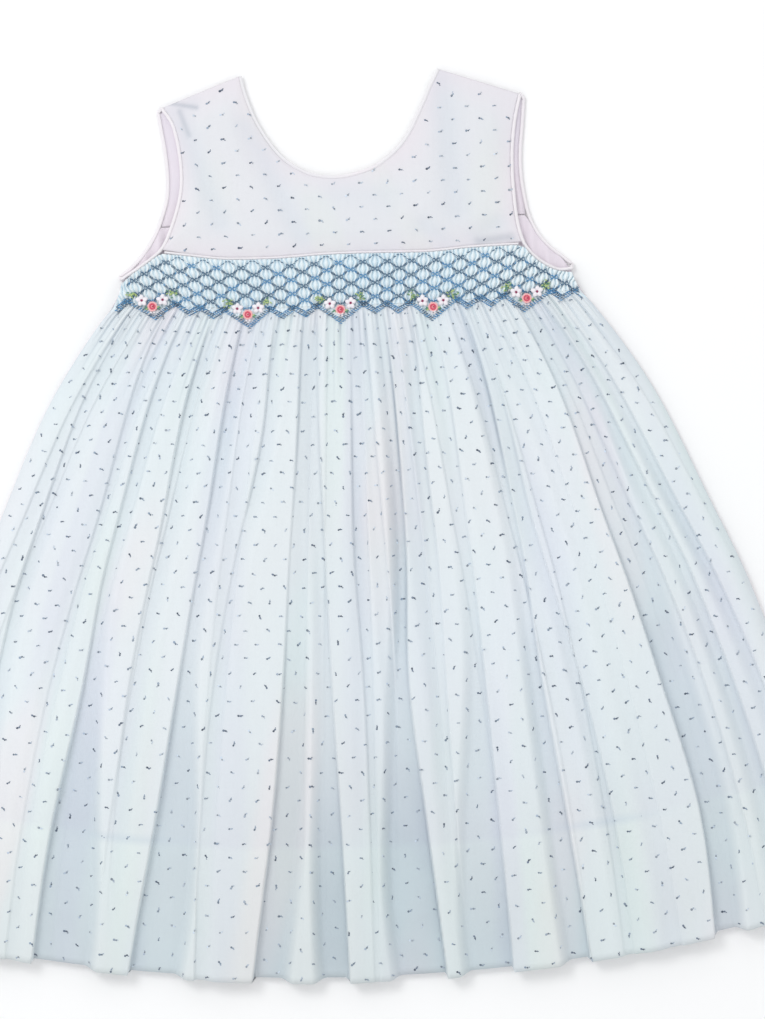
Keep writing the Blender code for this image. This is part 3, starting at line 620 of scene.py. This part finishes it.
def skirtToneAndShade(x, y):
    share = openness(x, y)
    flat = clothPlace(x, y)
    near = 1.0 - softStep(0.0, 70.0, smocking["bottom"] - y)
    ridge = np.clip(gatherRidge(x, y) / 1.6, 0.0, 1.0)
    # painted shade: darker in the hollows of the folds, more so toward the hem
    shade = (1.0 - share) * (0.35 + 0.65 * softStep(-60.0, -400.0, y))
    colour = blend(1.0 - shade, tone["valleyShade"], tone["crest"])
    # painted shade between the gathers close under the smocking
    colour = blend(0.35 * near * (1.0 - ridge), colour, tone["valleyShade"])
    # painted shade, darker toward the hem, and broad slow patches
    colour = colour * (1.0 - 0.10 * softStep(-230.0, -420.0, y) - 0.07 * slowTone(x, y))[..., None]
    colour = blend(0.42 * softStep(0.1, 0.5, waves(41, flat, y, 34.0, 300.0)), colour, colour * tone["mint"] / tone["crest"])
    colour = blend(0.42 * softStep(0.1, 0.5, waves(42, flat, y, 30.0, 240.0)), colour,
                   colour * np.array(tone["lavender"]) / tone["crest"])
    colour = blend(0.6 * softStep(0.15, 0.5, waves(43, flat, y, 44.0, 260.0)), colour,
                   colour * np.array(tone["warm"]) / tone["crest"])
    colour = blend(0.5 * gatherShadeLine(x, y), colour, tone["line"])
    return blend(0.6 * foldShadeLine(x, y), colour, tone["line"])


def bandPleatShade(x, y):
    # painted shade by the height of the pleats: pale on their crests and deeper blue between them
    low = smoothTable(outline["frontLift"], y) + dress["skirtWall"] + 0.4
    share = (bandHeight(x, y) - low) / (smocking["pleatHeight"] * 1.1)
    return blend(0.15 + 0.85 * share, tone["bandValleyShade"], tone["bandCrest"])


def footPath(column):
    # lower edge of the smocking: a deep point under each motif and two small dips between
    far = np.abs((column + 2.0) % 4.0 - 2.0)
    dips = -31.6 - 4.4 * (1.0 - np.abs(2.0 * ((far - 1.0) % 1.0) - 1.0)) * softStep(0.95, 1.2, far)
    return np.where(far < 0.92, -41.0 + 10.2 * far, dips)


def frontToneAndShade(x, y):
    flat = x * smocking["bottomHalf"] / bandHalf(y)
    column = (flat - smocking["middle"]) / smocking["pitch"]
    foot = np.maximum(footPath(column), -35.0) + latticeLift(flat)
    below = softStep(1.2, -0.4, y - foot)[..., None]
    return bandPleatShade(x, y) * (1.0 - below) + skirtToneAndShade(x, y) * below


def makeFront():
    place = np.linspace(-1.0, 1.0, skirt["columns"] + 1)
    top, foot = onTop(frontTop, place), bandFoot(place)
    levels = np.linspace(0.0, 1.0, smocking["rows"] + 1)[:, None]
    y = top + (foot - top) * levels
    x = place * sideAt(y)
    upper = np.dstack([x, y, frontHeight(x, y)])
    under = upper[::2] - (0.0, 0.0, smocking["wall"])
    points, faces = closedGrid(upper, under)
    tones = frontToneAndShade(x, y)
    tones = np.vstack([tones.reshape(-1, 3), tones[::2].reshape(-1, 3)])
    band = addPiece("smockedBand", points, faces, paint["band"], ("skirt_front",), tones)

    levels = np.linspace(0.0, 1.0, skirt["rows"] + 1)[:, None] ** 1.15
    y = foot + (hemAt(place) - foot) * levels
    x = place * sideAt(y)
    drop = skirt["hemScallop"] * openness(x, y) * softStep(0.85, 1.0, levels)
    z = frontHeight(x, y)
    hemLine = softStep(0.6, -0.6, (y - hemAt(place)) - skirt["hemDepth"])
    z = z + 0.35 * hemLine
    upper = np.dstack([x, y - drop, z])
    lowest = z.copy()
    for shift in (1, 2, 3, 4):
        lowest[:, shift:] = np.minimum(lowest[:, shift:], z[:, :-shift])
        lowest[:, :-shift] = np.minimum(lowest[:, :-shift], z[:, shift:])
    under = np.dstack([x, y - drop, lowest - dress["skirtWall"]])
    points, faces = closedGrid(upper, under[::4, ::4])
    tones = frontToneAndShade(x, y)
    tones = blend(0.8 * hemLine, tones, tones * np.array(tone["hem"]) / tone["crest"])
    # painted shade: a thin dark line along the folded edge of the hem
    edge = np.exp(-((y - hemAt(place) - skirt["hemDepth"]) / 0.7) ** 2)
    tones = blend(0.55 * edge, tones, tone["valleyShade"])
    tones = np.vstack([tones.reshape(-1, 3), tones[::4, ::4].reshape(-1, 3)])
    folds = addPiece("skirtFolds", points, faces, paint["skirt"], ("skirt_front",), tones)
    return band, folds


band, folds = makeFront()
print("skirt front made")


def makeSkirtBack():
    columns, rows = 360, 60
    place = np.linspace(-1.0, 1.0, columns + 1)
    top = onTop(backTop, place, dress["seamGap"])
    levels = np.linspace(0.0, 1.0, rows + 1)[:, None] ** 1.5
    y = top + (hemAt(place) - top) * levels
    x = place * (sideAt(y) - dress["seamGap"])
    ridge = 0.5 - 0.5 * np.cos(2 * math.pi * (place + 1) * 15.0)
    z = dress["skirtWall"] + 1.2 * ridge * (1.0 - softStep(0.04, 0.12, levels))
    upper = np.dstack([x, y, z])
    under = np.dstack([x, y, 0.0 * x])
    points, faces = closedGrid(upper, under[::4, ::4])
    return addPiece("skirtBack", points, faces, paint["inside"], ("skirt_back",))


skirtBack = makeSkirtBack()

yoke = {
    "strips": 56,
    "arch": 2.0,
    "troughs": (  # from one end to the other, width and depth of each soft hollow
        (-93, 78, -72, 20, 7, 0.8), (-54, 76, -25, 8, 7, 0.8), (-2, 36, 24, 32, 9, 0.5), (59, 99, 66, 24, 9, 0.8),
        (90, 14, 76, 6, 6, 0.7), (47, 14, 60, 3, 6, 0.7), (-104, 84, -86, 90, 5, 0.6),
    ),
    "wrinkles": ((-99, 91, -84, 88, 1.3, 0.5), (-94, 86, -89, 72, 1.6, 0.4), (97, 6, 78, 4, 2.5, 0.4)),  # depth in mm
}


def awayFrom(x, y, ends):
    startX, startY, endX, endY = ends
    runX, runY = endX - startX, endY - startY
    along = np.clip(((x - startX) * runX + (y - startY) * runY) / (runX ** 2 + runY ** 2), 0.0, 1.0)
    return np.hypot(x - startX - runX * along, y - startY - runY * along)


def troughShare(x, y):
    share = np.ones(x.shape)
    for *ends, width, depth in yoke["troughs"]:
        share = share * (1.0 - depth * np.exp(-(awayFrom(x, y, ends) / width) ** 2))
    return share


def wrinkleDepth(x, y):
    return sum(depth * np.exp(-(awayFrom(x, y, ends) / width) ** 2) for *ends, width, depth in yoke["wrinkles"])


def yokeToneAndShade(x, y, swell):
    # painted shade: darker in the soft hollows of the yoke and along its wrinkles
    colour = blend(0.62 * (1.0 - troughShare(x, y)), np.array(tone["yoke"]), tone["yokeHollowShade"])
    colour = blend(0.8 * softStep(0.0, 0.5, waves(51, x, y, 60.0, 90.0)), colour, colour * np.array(tone["yokeMint"]) / tone["yoke"])
    colour = blend(0.7 * (1.0 - swell) + 0.2, colour, colour * np.array(tone["yokePink"]) / tone["yoke"])
    return blend(0.9 * wrinkleDepth(x, y), colour, tone["line"])


def yokeHeight(x, y, swell):
    lift = smoothTable(outline["frontLift"], y)
    small = 0.22 * waves(21, x, y, 26.0, 60.0) * swell
    return lift + dress["yokeWall"] + yoke["arch"] * swell * troughShare(x, y) + small - wrinkleDepth(x, y)


def makeYokeFront():
    inset = dress["armPiping"] + dress["seamGap"]
    neck = movedLeft(curveThrough(outline["neck"], 61), -dress["neckPiping"] - dress["seamGap"])
    seam = movedLeft(curveThrough(outline["yokeSeam"], 48), dress["seamPiping"] + dress["seamGap"])
    left = movedLeft(curveThrough(outline["frontArmLeft"], 48), inset)
    right = movedLeft(curveThrough(outline["frontArmRight"][::-1], 48), inset)
    left = np.vstack([left[left[:, 1] > 9.0], (-106.8, 5.4)])
    right = np.vstack([(102.9, 3.0), right[right[:, 1] > 7.0]])
    seam = np.vstack([left[-1], seam[np.abs(seam[:, 0]) < 95.0], right[0]])
    rim = np.vstack([curveThrough(left, 73), curveThrough(seam, 121)[1:], curveThrough(right, 73)[1:]])
    neck = curveThrough(neck, len(rim))
    share = np.linspace(0.0, 1.0, yoke["strips"] + 1)[None, :]
    x = neck[:, :1] + (rim[:, :1] - neck[:, :1]) * share
    y = neck[:, 1:] + (rim[:, 1:] - neck[:, 1:]) * share
    fromShoulder = np.minimum(np.arange(len(rim)), np.arange(len(rim))[::-1])[:, None] / 18.0
    swell = np.minimum(1.0, 5.0 * share * (1.0 - share)) * np.minimum(1.0, fromShoulder)
    z = yokeHeight(x, y, swell)
    upper = np.dstack([x, y, z])
    under = np.dstack([x, y, z - dress["yokeWall"]])
    tones = yokeToneAndShade(x, y, swell)
    tones = np.vstack([tones[:, ::-1].reshape(-1, 3), tones[::4, ::-4].reshape(-1, 3)])
    points, faces = closedGrid(upper[:, ::-1], under[::4, ::-4])
    piece = addPiece("yokeFront", points, faces, paint["yoke"], ("yoke_front",), tones)
    return piece, x[6:-6, 2:-2], y[6:-6, 2:-2], z[6:-6, 2:-2]


yokeFront, yokeX, yokeY, yokeZ = makeYokeFront()


def makeYokeBack(name, side, node):
    inset = dress["armPiping"] + dress["seamGap"]
    neck = curveThrough(outline["neck"], 61) - (0.0, 2.0)
    neck = movedLeft(neck, -dress["backPiping"] - dress["seamGap"])[::-side]
    neck = neck[neck[:, 0] * side > 1.0]
    neck = np.vstack([neck, (0.2 * side, neck[-1][1])])
    arm = movedLeft(curveThrough(outline["backArmLeft" if side < 0 else "backArmRight"], 48), -inset * side)
    corner = (-107.0 if side < 0 else 106.0, 19.2)
    arm = np.vstack([arm[arm[:, 1] > 23.0], corner])
    seam = np.linspace(corner, (0.2 * side, 19.2), 33)
    rim = np.vstack([curveThrough(arm, 49), seam[1:]])
    neck = curveThrough(neck, len(rim))
    share = np.linspace(0.0, 1.0, 25)[None, :]
    x = neck[:, :1] + (rim[:, :1] - neck[:, :1]) * share
    y = neck[:, 1:] + (rim[:, 1:] - neck[:, 1:]) * share
    upper = np.dstack([x, y, 0.0 * x + dress["yokeWall"]])
    under = np.dstack([x, y, 0.0 * x])
    if side < 0:
        upper, under = upper[:, ::-1], under[:, ::-1]
    points, faces = closedGrid(upper, under[::4, ::4])
    return addPiece(name, points, faces, paint["inside"], (node,))


backLeft = makeYokeBack("yokeBackLeft", -1, "yoke_back_left")
backRight = makeYokeBack("yokeBackRight", 1, "yoke_back_right")
print("yoke and back made")


def tube(line, radius, sides=14, closed=False, flat=1.0):
    # points and faces of a round strand along a line
    line = np.asarray(line, dtype=float)
    count = len(line)
    run = np.roll(line, -1, axis=0) - np.roll(line, 1, axis=0) if closed else np.gradient(line, axis=0)
    side = np.stack([run[:, 1], -run[:, 0], 0.0 * run[:, 0]], axis=1)
    side /= np.maximum(np.linalg.norm(side, axis=1)[:, None], 1e-9)
    lift = np.cross(side, run)
    lift /= np.maximum(np.linalg.norm(lift, axis=1)[:, None], 1e-9)
    radius = np.broadcast_to(np.asarray(radius, dtype=float), (count,))[:, None, None]
    turn = np.linspace(0.0, 2.0 * math.pi, sides, endpoint=False)
    ring = np.cos(turn)[None, :, None] * side[:, None, :] + np.sin(turn)[None, :, None] * lift[:, None, :] * flat
    points = (line[:, None, :] + ring * radius).reshape(-1, 3)
    index = np.arange(count * sides).reshape(count, sides)
    rows = index if not closed else np.vstack([index, index[:1]])
    beside = np.roll(rows, -1, axis=1)
    faces = np.stack([rows[:-1], beside[:-1], beside[1:], rows[1:]], axis=-1).reshape(-1, 4).tolist()
    if not closed:
        faces.append(index[0][::-1].tolist())
        faces.append(index[-1].tolist())
    return points, faces


def joined(parts):
    points, faces, start = [], [], 0
    for partPoints, partFaces in parts:
        points.append(partPoints)
        faces += [[corner + start for corner in face] for face in partFaces]
        start += len(partPoints)
    return np.vstack(points), faces


def pipingTones(points, back=False):
    # whiter where the piping edges the front, pinker round the back
    low = np.array(tone["pipingBack" if back else "pipingFront"])
    return blend(softStep(2.0, 1.2, points[:, 2]), low, tone["pipingBack"])


def makePiping():
    lift = outline["frontLift"]
    for name, node, front, back in (("armholePipingLeft", "armhole_piping_left", "frontArmLeft", "backArmLeft"),
                                    ("armholePipingRight", "armhole_piping_right", "frontArmRight", "backArmRight")):
        down = curveThrough(outline[front], 150)
        up = curveThrough(outline[back][::-1], 140)
        down = np.column_stack([down, smoothTable(lift, down[:, 1]) + dress["armPiping"]])
        up = np.column_stack([up, np.full(len(up), dress["armPiping"] + 0.05)])
        line = np.vstack([down, up])
        radius = dress["armPiping"] * (1.0 + 0.04 * np.sin(np.arange(len(line)) * 0.9))
        points, faces = tube(line, radius, closed=True)
        addPiece(name, points, faces, paint["piping"], (node,), pipingTones(points))
    line = curveThrough(outline["neck"], 160)
    line = np.column_stack([line, np.full(160, lift[0][1] + dress["neckPiping"] - 0.1)])
    points, faces = tube(line, 1.25 * dress["neckPiping"])
    tones = np.tile(tone["neckEdge"], (len(points), 1))
    addPiece("neckPipingFront", points, faces, paint["piping"], ("neck_piping_front",), tones)
    back = curveThrough(outline["neck"], 121) - (0.0, 2.0)
    for name, node, side in (("neckPipingBackLeft", "neck_piping_back_left", -1),
                             ("neckPipingBackRight", "neck_piping_back_right", 1)):
        half = back[back[:, 0] * side > 0.2]
        half = np.column_stack([half, np.full(len(half), dress["backPiping"] + 0.05)])
        points, faces = tube(half, dress["backPiping"])
        addPiece(name, points, faces, paint["piping"], (node,), pipingTones(points, True))
    line = curveThrough(outline["yokeSeam"], 170)[1:-1]
    line = np.column_stack([line, smoothTable(lift, line[:, 1]) + 0.5 * dress["yokeWall"] + 0.5])
    points, faces = tube(line, dress["seamPiping"])
    addPiece("seamPiping", points, faces, paint["piping"], ("seam_piping",), pipingTones(points))


makePiping()
print("piping made")

tufts = {
    "skirtPitch": (14.9, 8.25),  # across, and from row to row; every second row is set half a pitch along
    "yokePitch": (15.9, 7.1),
    "length": 2.75,
    "width": 1.35,
    "height": 0.2,
    "tones": ((0.13, 0.16, 0.21), (0.22, 0.27, 0.33), (0.30, 0.35, 0.41), (0.38, 0.43, 0.49), (0.47, 0.52, 0.57)),
    "seed": 5,
}


def lobe():
    # one clipped end of yarn: a low dome on a closed foot
    sides, points, faces = 8, [], []
    for size, lift in ((1.0, -0.35), (0.92, 0.45)):
        for step in range(sides):
            turn = 2 * math.pi * step / sides
            points.append((size * math.cos(turn), size * math.sin(turn), lift))
    points.append((0.0, 0.0, 0.95))
    for step in range(sides):
        after = (step + 1) % sides
        faces.append((step, after, sides + after, sides + step))
        faces.append((sides + step, sides + after, 2 * sides))
    faces.append(tuple(range(sides))[::-1])
    return np.array(points), faces


lobePoints, lobeFaces = lobe()


def placedTuft(x, y, z, slope, chance, lean):
    # two small lobes of clipped yarn side by side, laid on the slope of the cloth
    angle = chance.gauss(0.1, lean)
    size = chance.uniform(0.75, 1.12)
    tilt = math.atan(slope)
    along = np.array((math.cos(tilt), 0.0, math.sin(tilt)))
    out = np.array((-math.sin(tilt), 0.0, math.cos(tilt)))
    grey = chance.choice(tufts["tones"])
    dark = chance.choice((-1, 1))
    parts, tones = [], []
    bend = chance.choice((-1, 1))
    for side, long, broad, away, aside in ((-1, 0.52, 0.95, -0.18, 0.0), (1, 0.42, 0.8, 0.24, 0.1), (0, 0.3, 0.45, 0.5, 0.5)):
        reach = tufts["length"] * 0.5 * size * long * chance.uniform(0.85, 1.15)
        wide = tufts["width"] * 0.5 * size * broad * chance.uniform(0.85, 1.1)
        shift = (tufts["length"] * size * away, (tufts["width"] * aside * bend + chance.gauss(0.0, 0.1)) * size, 0.0)
        points = lobePoints * (reach, wide, tufts["height"] * chance.uniform(0.7, 1.1)) + shift
        turned = np.column_stack([points[:, 0] * math.cos(angle) - points[:, 1] * math.sin(angle),
                                  points[:, 0] * math.sin(angle) + points[:, 1] * math.cos(angle), points[:, 2]])
        parts.append(((x, y, z) + turned[:, :1] * along + turned[:, 1:2] * (0.0, 1.0, 0.0) + turned[:, 2:] * out, lobeFaces))
        shade = chance.uniform(0.7, 1.0) if side == dark else chance.uniform(1.1, 1.7)
        tones.append(np.clip(np.tile(grey, (len(points), 1)) * shade, 0.0, 1.0))
    return parts, tones


def makeTufts():
    chance = random.Random(tufts["seed"])
    parts, tones = [], []
    place = np.linspace(-1.0, 1.0, 1401)
    foot, hem = bandFoot(place), hemAt(place)
    across, down = tufts["skirtPitch"]
    rows = int((smocking["bottom"] - skirt["hemMiddle"]) / down)
    for row in range(rows):
        level = (row + 0.7) / rows
        y = foot + (hem - foot) * level
        x = place * sideAt(y)
        z = frontHeight(x, y) + 0.35 * softStep(0.6, -0.6, (y - hem) - skirt["hemDepth"])
        y = y - skirt["hemScallop"] * openness(x, y) * softStep(0.85, 1.0, level)
        runs = np.concatenate([[0.0], np.cumsum(np.hypot(np.diff(x), np.diff(z)))])
        cut = runs / runs[-1] * skirt["cutWidth"]
        slope = np.gradient(z, x)
        shift = 0.5 * (row % 2) * across
        for spot in np.arange(3.0 + shift, skirt["cutWidth"] - 3.0, across):
            at = np.interp(spot + chance.gauss(0.0, 0.5), cut, np.arange(len(place)))
            index = int(round(at))
            if abs(place[index]) > 0.985 or abs(slope[index]) > 2.5:
                continue
            shapes, greys = placedTuft(x[index], y[index] + chance.gauss(0.0, 0.4), z[index] + 0.05, slope[index],
                                       chance, 0.75)
            parts += shapes
            tones += greys
    points, faces = joined(parts)
    skirtTufts = addPiece("skirtTufts", points, faces, paint["tuft"], colours=np.vstack(tones))

    parts, tones = [], []
    flatX, flatY, flatZ = yokeX.ravel(), yokeY.ravel(), yokeZ.ravel()
    across, down = tufts["yokePitch"]
    for row in range(16):
        for column in range(-8, 9):
            x = (column + 0.5 * (row % 2)) * across + 2.0
            y = 5.0 + row * down
            near = np.argmin((flatX - x) ** 2 + (flatY - y) ** 2)
            if math.hypot(flatX[near] - x, flatY[near] - y) > 1.4:
                continue
            shapes, greys = placedTuft(x, y, flatZ[near] + 0.05, 0.0, chance, 0.3)
            parts += shapes
            tones += greys
    points, faces = joined(parts)
    yokeTufts = addPiece("yokeTufts", points, faces, paint["tuft"], colours=np.vstack(tones))
    return skirtTufts, yokeTufts


skirtTufts, yokeTufts = makeTufts()
print("tufts made")

stitches = {
    "ring": 0.27,
    "tick": 0.28,
    "footTick": 0.33,
    "seed": 31,
}


def topHeight(x, y):
    # highest cloth near a stitch, so that a strand lies over the pleats
    offsets = np.linspace(-1.2, 1.2, 5)
    return float(frontHeight(x + offsets, np.full(5, y)).max())


def tick(x, y, z, reachX, reachY, radius, bow=0.3):
    # one short stitch over a pleat, thickest in the middle and sunk at both ends
    share = np.linspace(0.0, 1.0, 5)
    line = np.column_stack([x + reachX * (share - 0.5), y + reachY * (share - 0.5),
                            z + bow * np.sin(math.pi * share) - 0.3 * np.abs(2 * share - 1) ** 3])
    return tube(line, radius * np.array((0.55, 0.9, 1.0, 0.9, 0.55)), sides=6)


def ring(x, y, z, reachX, reachY, radius):
    # a cable stitch seen from the front: a loop round one drawn-up pleat
    turn = np.linspace(0.0, 2.0 * math.pi, 12, endpoint=False)
    line = np.column_stack([x + reachX * np.cos(turn), y + reachY * np.sin(turn),
                            z + 0.25 * np.abs(np.sin(turn))])
    return tube(line, radius * (0.85 + 0.25 * np.abs(np.sin(turn))), sides=6, closed=True)


def latticePoint(column, row):
    flat = smocking["middle"] + column * smocking["pitch"]
    y = smocking["rowTop"] - row * smocking["rowStep"] + float(latticeLift(flat))
    return flat * float(bandHalf(y)) / smocking["bottomHalf"], y


def insideBand(x, y, margin=1.2):
    place = x / float(sideAt(y))
    return abs(place) < 0.985 and y < float(onTop(frontTop, np.array(place))) - margin


def makeTrellis():
    chance = random.Random(stitches["seed"])
    navy, blue = [], []
    for row in range(8):
        shift = 0.5 if row % 2 == 0 else 0.0
        for index in range(-12, 12):
            column = index + shift
            x, y = latticePoint(column, row)
            drawn = blue if chance.random() < 0.05 + 0.09 * row else navy
            z = topHeight(x, y) + 0.1
            if row == 0:  # small arches close under the piping
                for offset, drop, slant in ((-2.9, -1.5, 0.9), (-1.1, -0.3, 0.45), (1.1, -0.3, -0.45), (2.9, -1.5, -0.9)):
                    if insideBand(x + offset, y + drop, 0.4):
                        height = topHeight(x + offset, y + drop) + 0.1
                        navy.append(tick(x + offset, y + drop, height, 1.7, slant, stitches["tick"]))
                continue
            if not insideBand(x, y):
                continue
            for turn in (-1.0, 1.0):
                wobble = chance.uniform(-0.12, 0.12)
                drawn.append(ring(x + 1.18 * turn, y + wobble, z, 0.92, 0.95, stitches["ring"]))
                # loose ends that cross above and below the two loops
                for lift in (1.25, -1.25):
                    drawn.append(tick(x + 2.1 * turn, y + lift, z, 1.3 * turn, 0.75 if lift > 0 else -0.75,
                                      stitches["tick"]))
            if row == 7:
                continue
            for sideways in (-0.5, 0.5):  # the sides of the diamond below this node
                endX, endY = latticePoint(column + sideways, row + 1)
                for part in (0.43, 0.60):
                    tickX, tickY = x + (endX - x) * part, y + (endY - y) * part
                    if not insideBand(tickX, tickY):
                        continue
                    height = topHeight(tickX, tickY) + 0.1
                    target = blue if chance.random() < 0.08 + 0.08 * row else navy
                    turn = 1.0 if sideways > 0 else -1.0
                    for lift in (0.36, -0.36):
                        target.append(tick(tickX, tickY + lift, height, 1.25 * turn, -0.95,
                                           0.8 * stitches["tick"] * chance.uniform(0.9, 1.1)))
    return navy, blue


def makeFootRows():
    chance = random.Random(stitches["seed"] + 1)
    navy, blue = [], []
    for line, shift in enumerate((0.0, 1.6, 2.9)):
        for step in range(-620, 621):
            column = step / 60.0
            part = abs((column + 2.0) % 4.0 - 2.0)
            if line == 2 and part < 0.85:
                continue
            if step % 5:
                continue
            flat = smocking["middle"] + column * smocking["pitch"]
            y = footPath(column) + shift + float(latticeLift(flat)) + chance.uniform(-0.12, 0.12)
            x = flat * float(bandHalf(y)) / smocking["bottomHalf"]
            if not insideBand(x, y):
                continue
            z = topHeight(x, y) + 0.1
            target = navy if chance.random() < 0.38 else blue
            rising = 1.0 if footPath(column + 0.01) > footPath(column - 0.01) else -1.0
            slant = (0.1, -0.75, 0.3)[line] * rising
            target.append(tick(x, y, z, 1.5, slant, stitches["footTick"] * chance.uniform(0.8, 1.05)))
    return navy, blue


trellisNavy, trellisBlue = makeTrellis()
footNavy, footBlue = makeFootRows()
points, faces = joined(trellisNavy + footNavy)
addPiece("trellisNavy", points, faces, paint["navy"])
points, faces = joined(trellisBlue + footBlue)
addPiece("trellisBlue", points, faces, paint["blue"])
print("trellis stitched")

motif = {
    "columns": (-8.0, -4.0, 0.0, 4.0, 8.0),
    "roseY": -33.2,
    "roseLift": 1.0,
    "daisyX": 6.1,
    "daisyY": 3.7,
    "sprigX": 11.6,
    "sprigY": 7.4,
}


def coil(x, y, z, radius, strandRadius, turns=1.0, start=0.0, dip=0.0):
    share = np.linspace(0.0, 1.0, int(20 * turns) + 2)
    turn = start + 2 * math.pi * turns * share
    line = np.column_stack([x + radius * np.cos(turn), y + radius * np.sin(turn), z + dip * share])
    return tube(line, strandRadius * (1.0 + 0.16 * np.sin(share * turns * 40.0)), sides=8)


def petal(x, y, z, angle, length, width, height=0.5):
    # a lazy-daisy loop: a small raised leaf of thread
    share = np.linspace(0.0, 1.0, 7)
    line = np.column_stack([x + length * share * math.cos(angle), y + length * share * math.sin(angle),
                            z + height * np.sin(math.pi * share) + 0.1])
    return tube(line, width * np.sin(math.pi * (0.08 + 0.84 * share)) ** 0.8, sides=8, flat=0.7)


def makeMotifs():
    chance = random.Random(stitches["seed"] + 2)
    parts = {key: [] for key in ("rose", "blushRose", "white", "plum", "leaf", "sprig")}
    for column in motif["columns"]:
        flat = smocking["middle"] + column * smocking["pitch"]
        y = motif["roseY"] + float(latticeLift(flat))
        x = flat * float(bandHalf(y)) / smocking["bottomHalf"]
        z = topHeight(x, y) + 0.2
        for step in range(5):  # bullion rose: pale outer coils round red ones
            start = 2 * math.pi * step / 5 + 0.4
            cx, cy = x + 0.25 * math.cos(start), y + 0.25 * math.sin(start)
            parts["blushRose"].append(coil(cx, cy, z + 0.25, 2.2, 0.55, turns=0.34, start=start))
        for step in range(3):
            start = 2 * math.pi * step / 3
            parts["rose"].append(coil(x, y, z + 0.55, 1.35, 0.5, turns=0.42, start=start, dip=0.2))
        parts["blushRose"].append(coil(x, y, z + 0.8, 0.62, 0.3, turns=0.7, start=1.0))
        parts["rose"].append(coil(x, y, z + 0.85, 0.2, 0.42, turns=1.0, start=1.0))
        for side in (-1, 1):
            base = 0.0 if side > 0 else math.pi
            for spread, reach in ((-0.5, 2.2), (0.05, 2.7), (0.5, 2.0)):
                parts["leaf" if spread < 0.4 else "sprig"].append(
                    petal(x + side * 2.4, y - 0.9, z - 0.1, base + spread, reach, 0.48))
            for drop in (2.6, 3.6):
                parts["white"].append(tick(x + side * 0.9, y - drop, topHeight(x, y - drop) + 0.1, 1.6, 0.7 * side, 0.42))
            dx, dy = x + side * motif["daisyX"], y + motif["daisyY"]
            dz = topHeight(dx, dy) + 0.15
            for step in range(5):
                angle = 2 * math.pi * step / 5 + 0.3 + chance.uniform(-0.15, 0.15)
                parts["white"].append(petal(dx + 0.4 * math.cos(angle), dy + 0.4 * math.sin(angle), dz, angle,
                                            chance.uniform(2.9, 3.4), 1.4))
            parts["plum"].append(coil(dx, dy, dz + 0.65, 0.38, 0.48))
            sx, sy = x + side * motif["sprigX"], y + motif["sprigY"]
            for step in range(18):
                angle, away = chance.uniform(0, 2 * math.pi), chance.uniform(0.3, 3.3)
                tx, ty = sx + away * math.cos(angle), sy + 0.9 * away * math.sin(angle)
                kind = "sprig" if chance.random() < 0.68 else "leaf"
                lean = chance.uniform(-0.9, 0.9)
                parts[kind].append(tick(tx, ty, topHeight(tx, ty) + 0.1, 1.5 * math.cos(lean), 1.5 * math.sin(lean), 0.42))
    names = {"rose": "bullionRoses", "blushRose": "roseRims", "white": "daisies", "plum": "daisyCentres",
             "leaf": "leaves", "sprig": "sprigs"}
    for key, name in names.items():
        points, faces = joined(parts[key])
        addPiece(name, points, faces, paint[key])


makeMotifs()
print("motifs stitched")

view = {
    "centre": (16.4, -150.6),  # garment point at the picture's middle
    "height": 595.1,
    "distance": 2.2,
    "roll": 2.0,
}


def makeCamera():
    lens = bpy.data.cameras.new("camera")
    lens.sensor_width = 36.0
    lens.lens = 36.0 * view["distance"] / (view["height"] * mm)
    camera = bpy.data.objects.new("camera", lens)
    bpy.context.scene.collection.objects.link(camera)
    x, y = view["centre"]
    camera.location = (x * mm, (y - dress["outlineMiddle"]) * mm, view["distance"] + 0.006)
    camera.rotation_euler = (0.0, 0.0, -math.radians(view["roll"]))
    bpy.context.scene.camera = camera


def addArea(name, location, target, size, power):
    light = bpy.data.lights.new(name, "AREA")
    light.shape = "DISK"
    light.size = size
    light.energy = power
    placed = bpy.data.objects.new(name, light)
    placed.location = location
    direction = np.array(target) - np.array(location)
    placed.rotation_euler = (math.atan2(math.hypot(direction[0], direction[1]), -direction[2]), 0.0,
                             math.atan2(-direction[0], direction[1]))
    bpy.context.scene.collection.objects.link(placed)


def makeStudio():
    world = bpy.data.worlds.new("studio")
    world.use_nodes = True
    world.node_tree.nodes["Background"].inputs["Color"].default_value = (0.98, 0.99, 1.0, 1.0)
    world.node_tree.nodes["Background"].inputs["Strength"].default_value = 0.90
    bpy.context.scene.world = world
    addArea("window", (-0.9, 0.9, 1.9), (0.0, 0.0, 0.0), 0.9, 12.0)
    floorMesh = bpy.data.meshes.new("floor")
    reach = 3.0
    corners = [(-reach, -reach, -0.0006), (reach, -reach, -0.0006), (reach, reach, -0.0006), (-reach, reach, -0.0006)]
    floorMesh.from_pydata(corners, [], [(0, 1, 2, 3)])
    floor = bpy.data.objects.new("floor", floorMesh)
    bpy.context.scene.collection.objects.link(floor)
    shader = Shader("paleFloor")
    shader.feed("Base Color", (0.95, 0.95, 0.95, 1.0))
    shader.feed("Roughness", 0.9)
    floorMesh.materials.append(shader.material)


makeCamera()
makeStudio()
bpy.context.scene.view_settings.view_transform = "Standard"
print("scene ready")
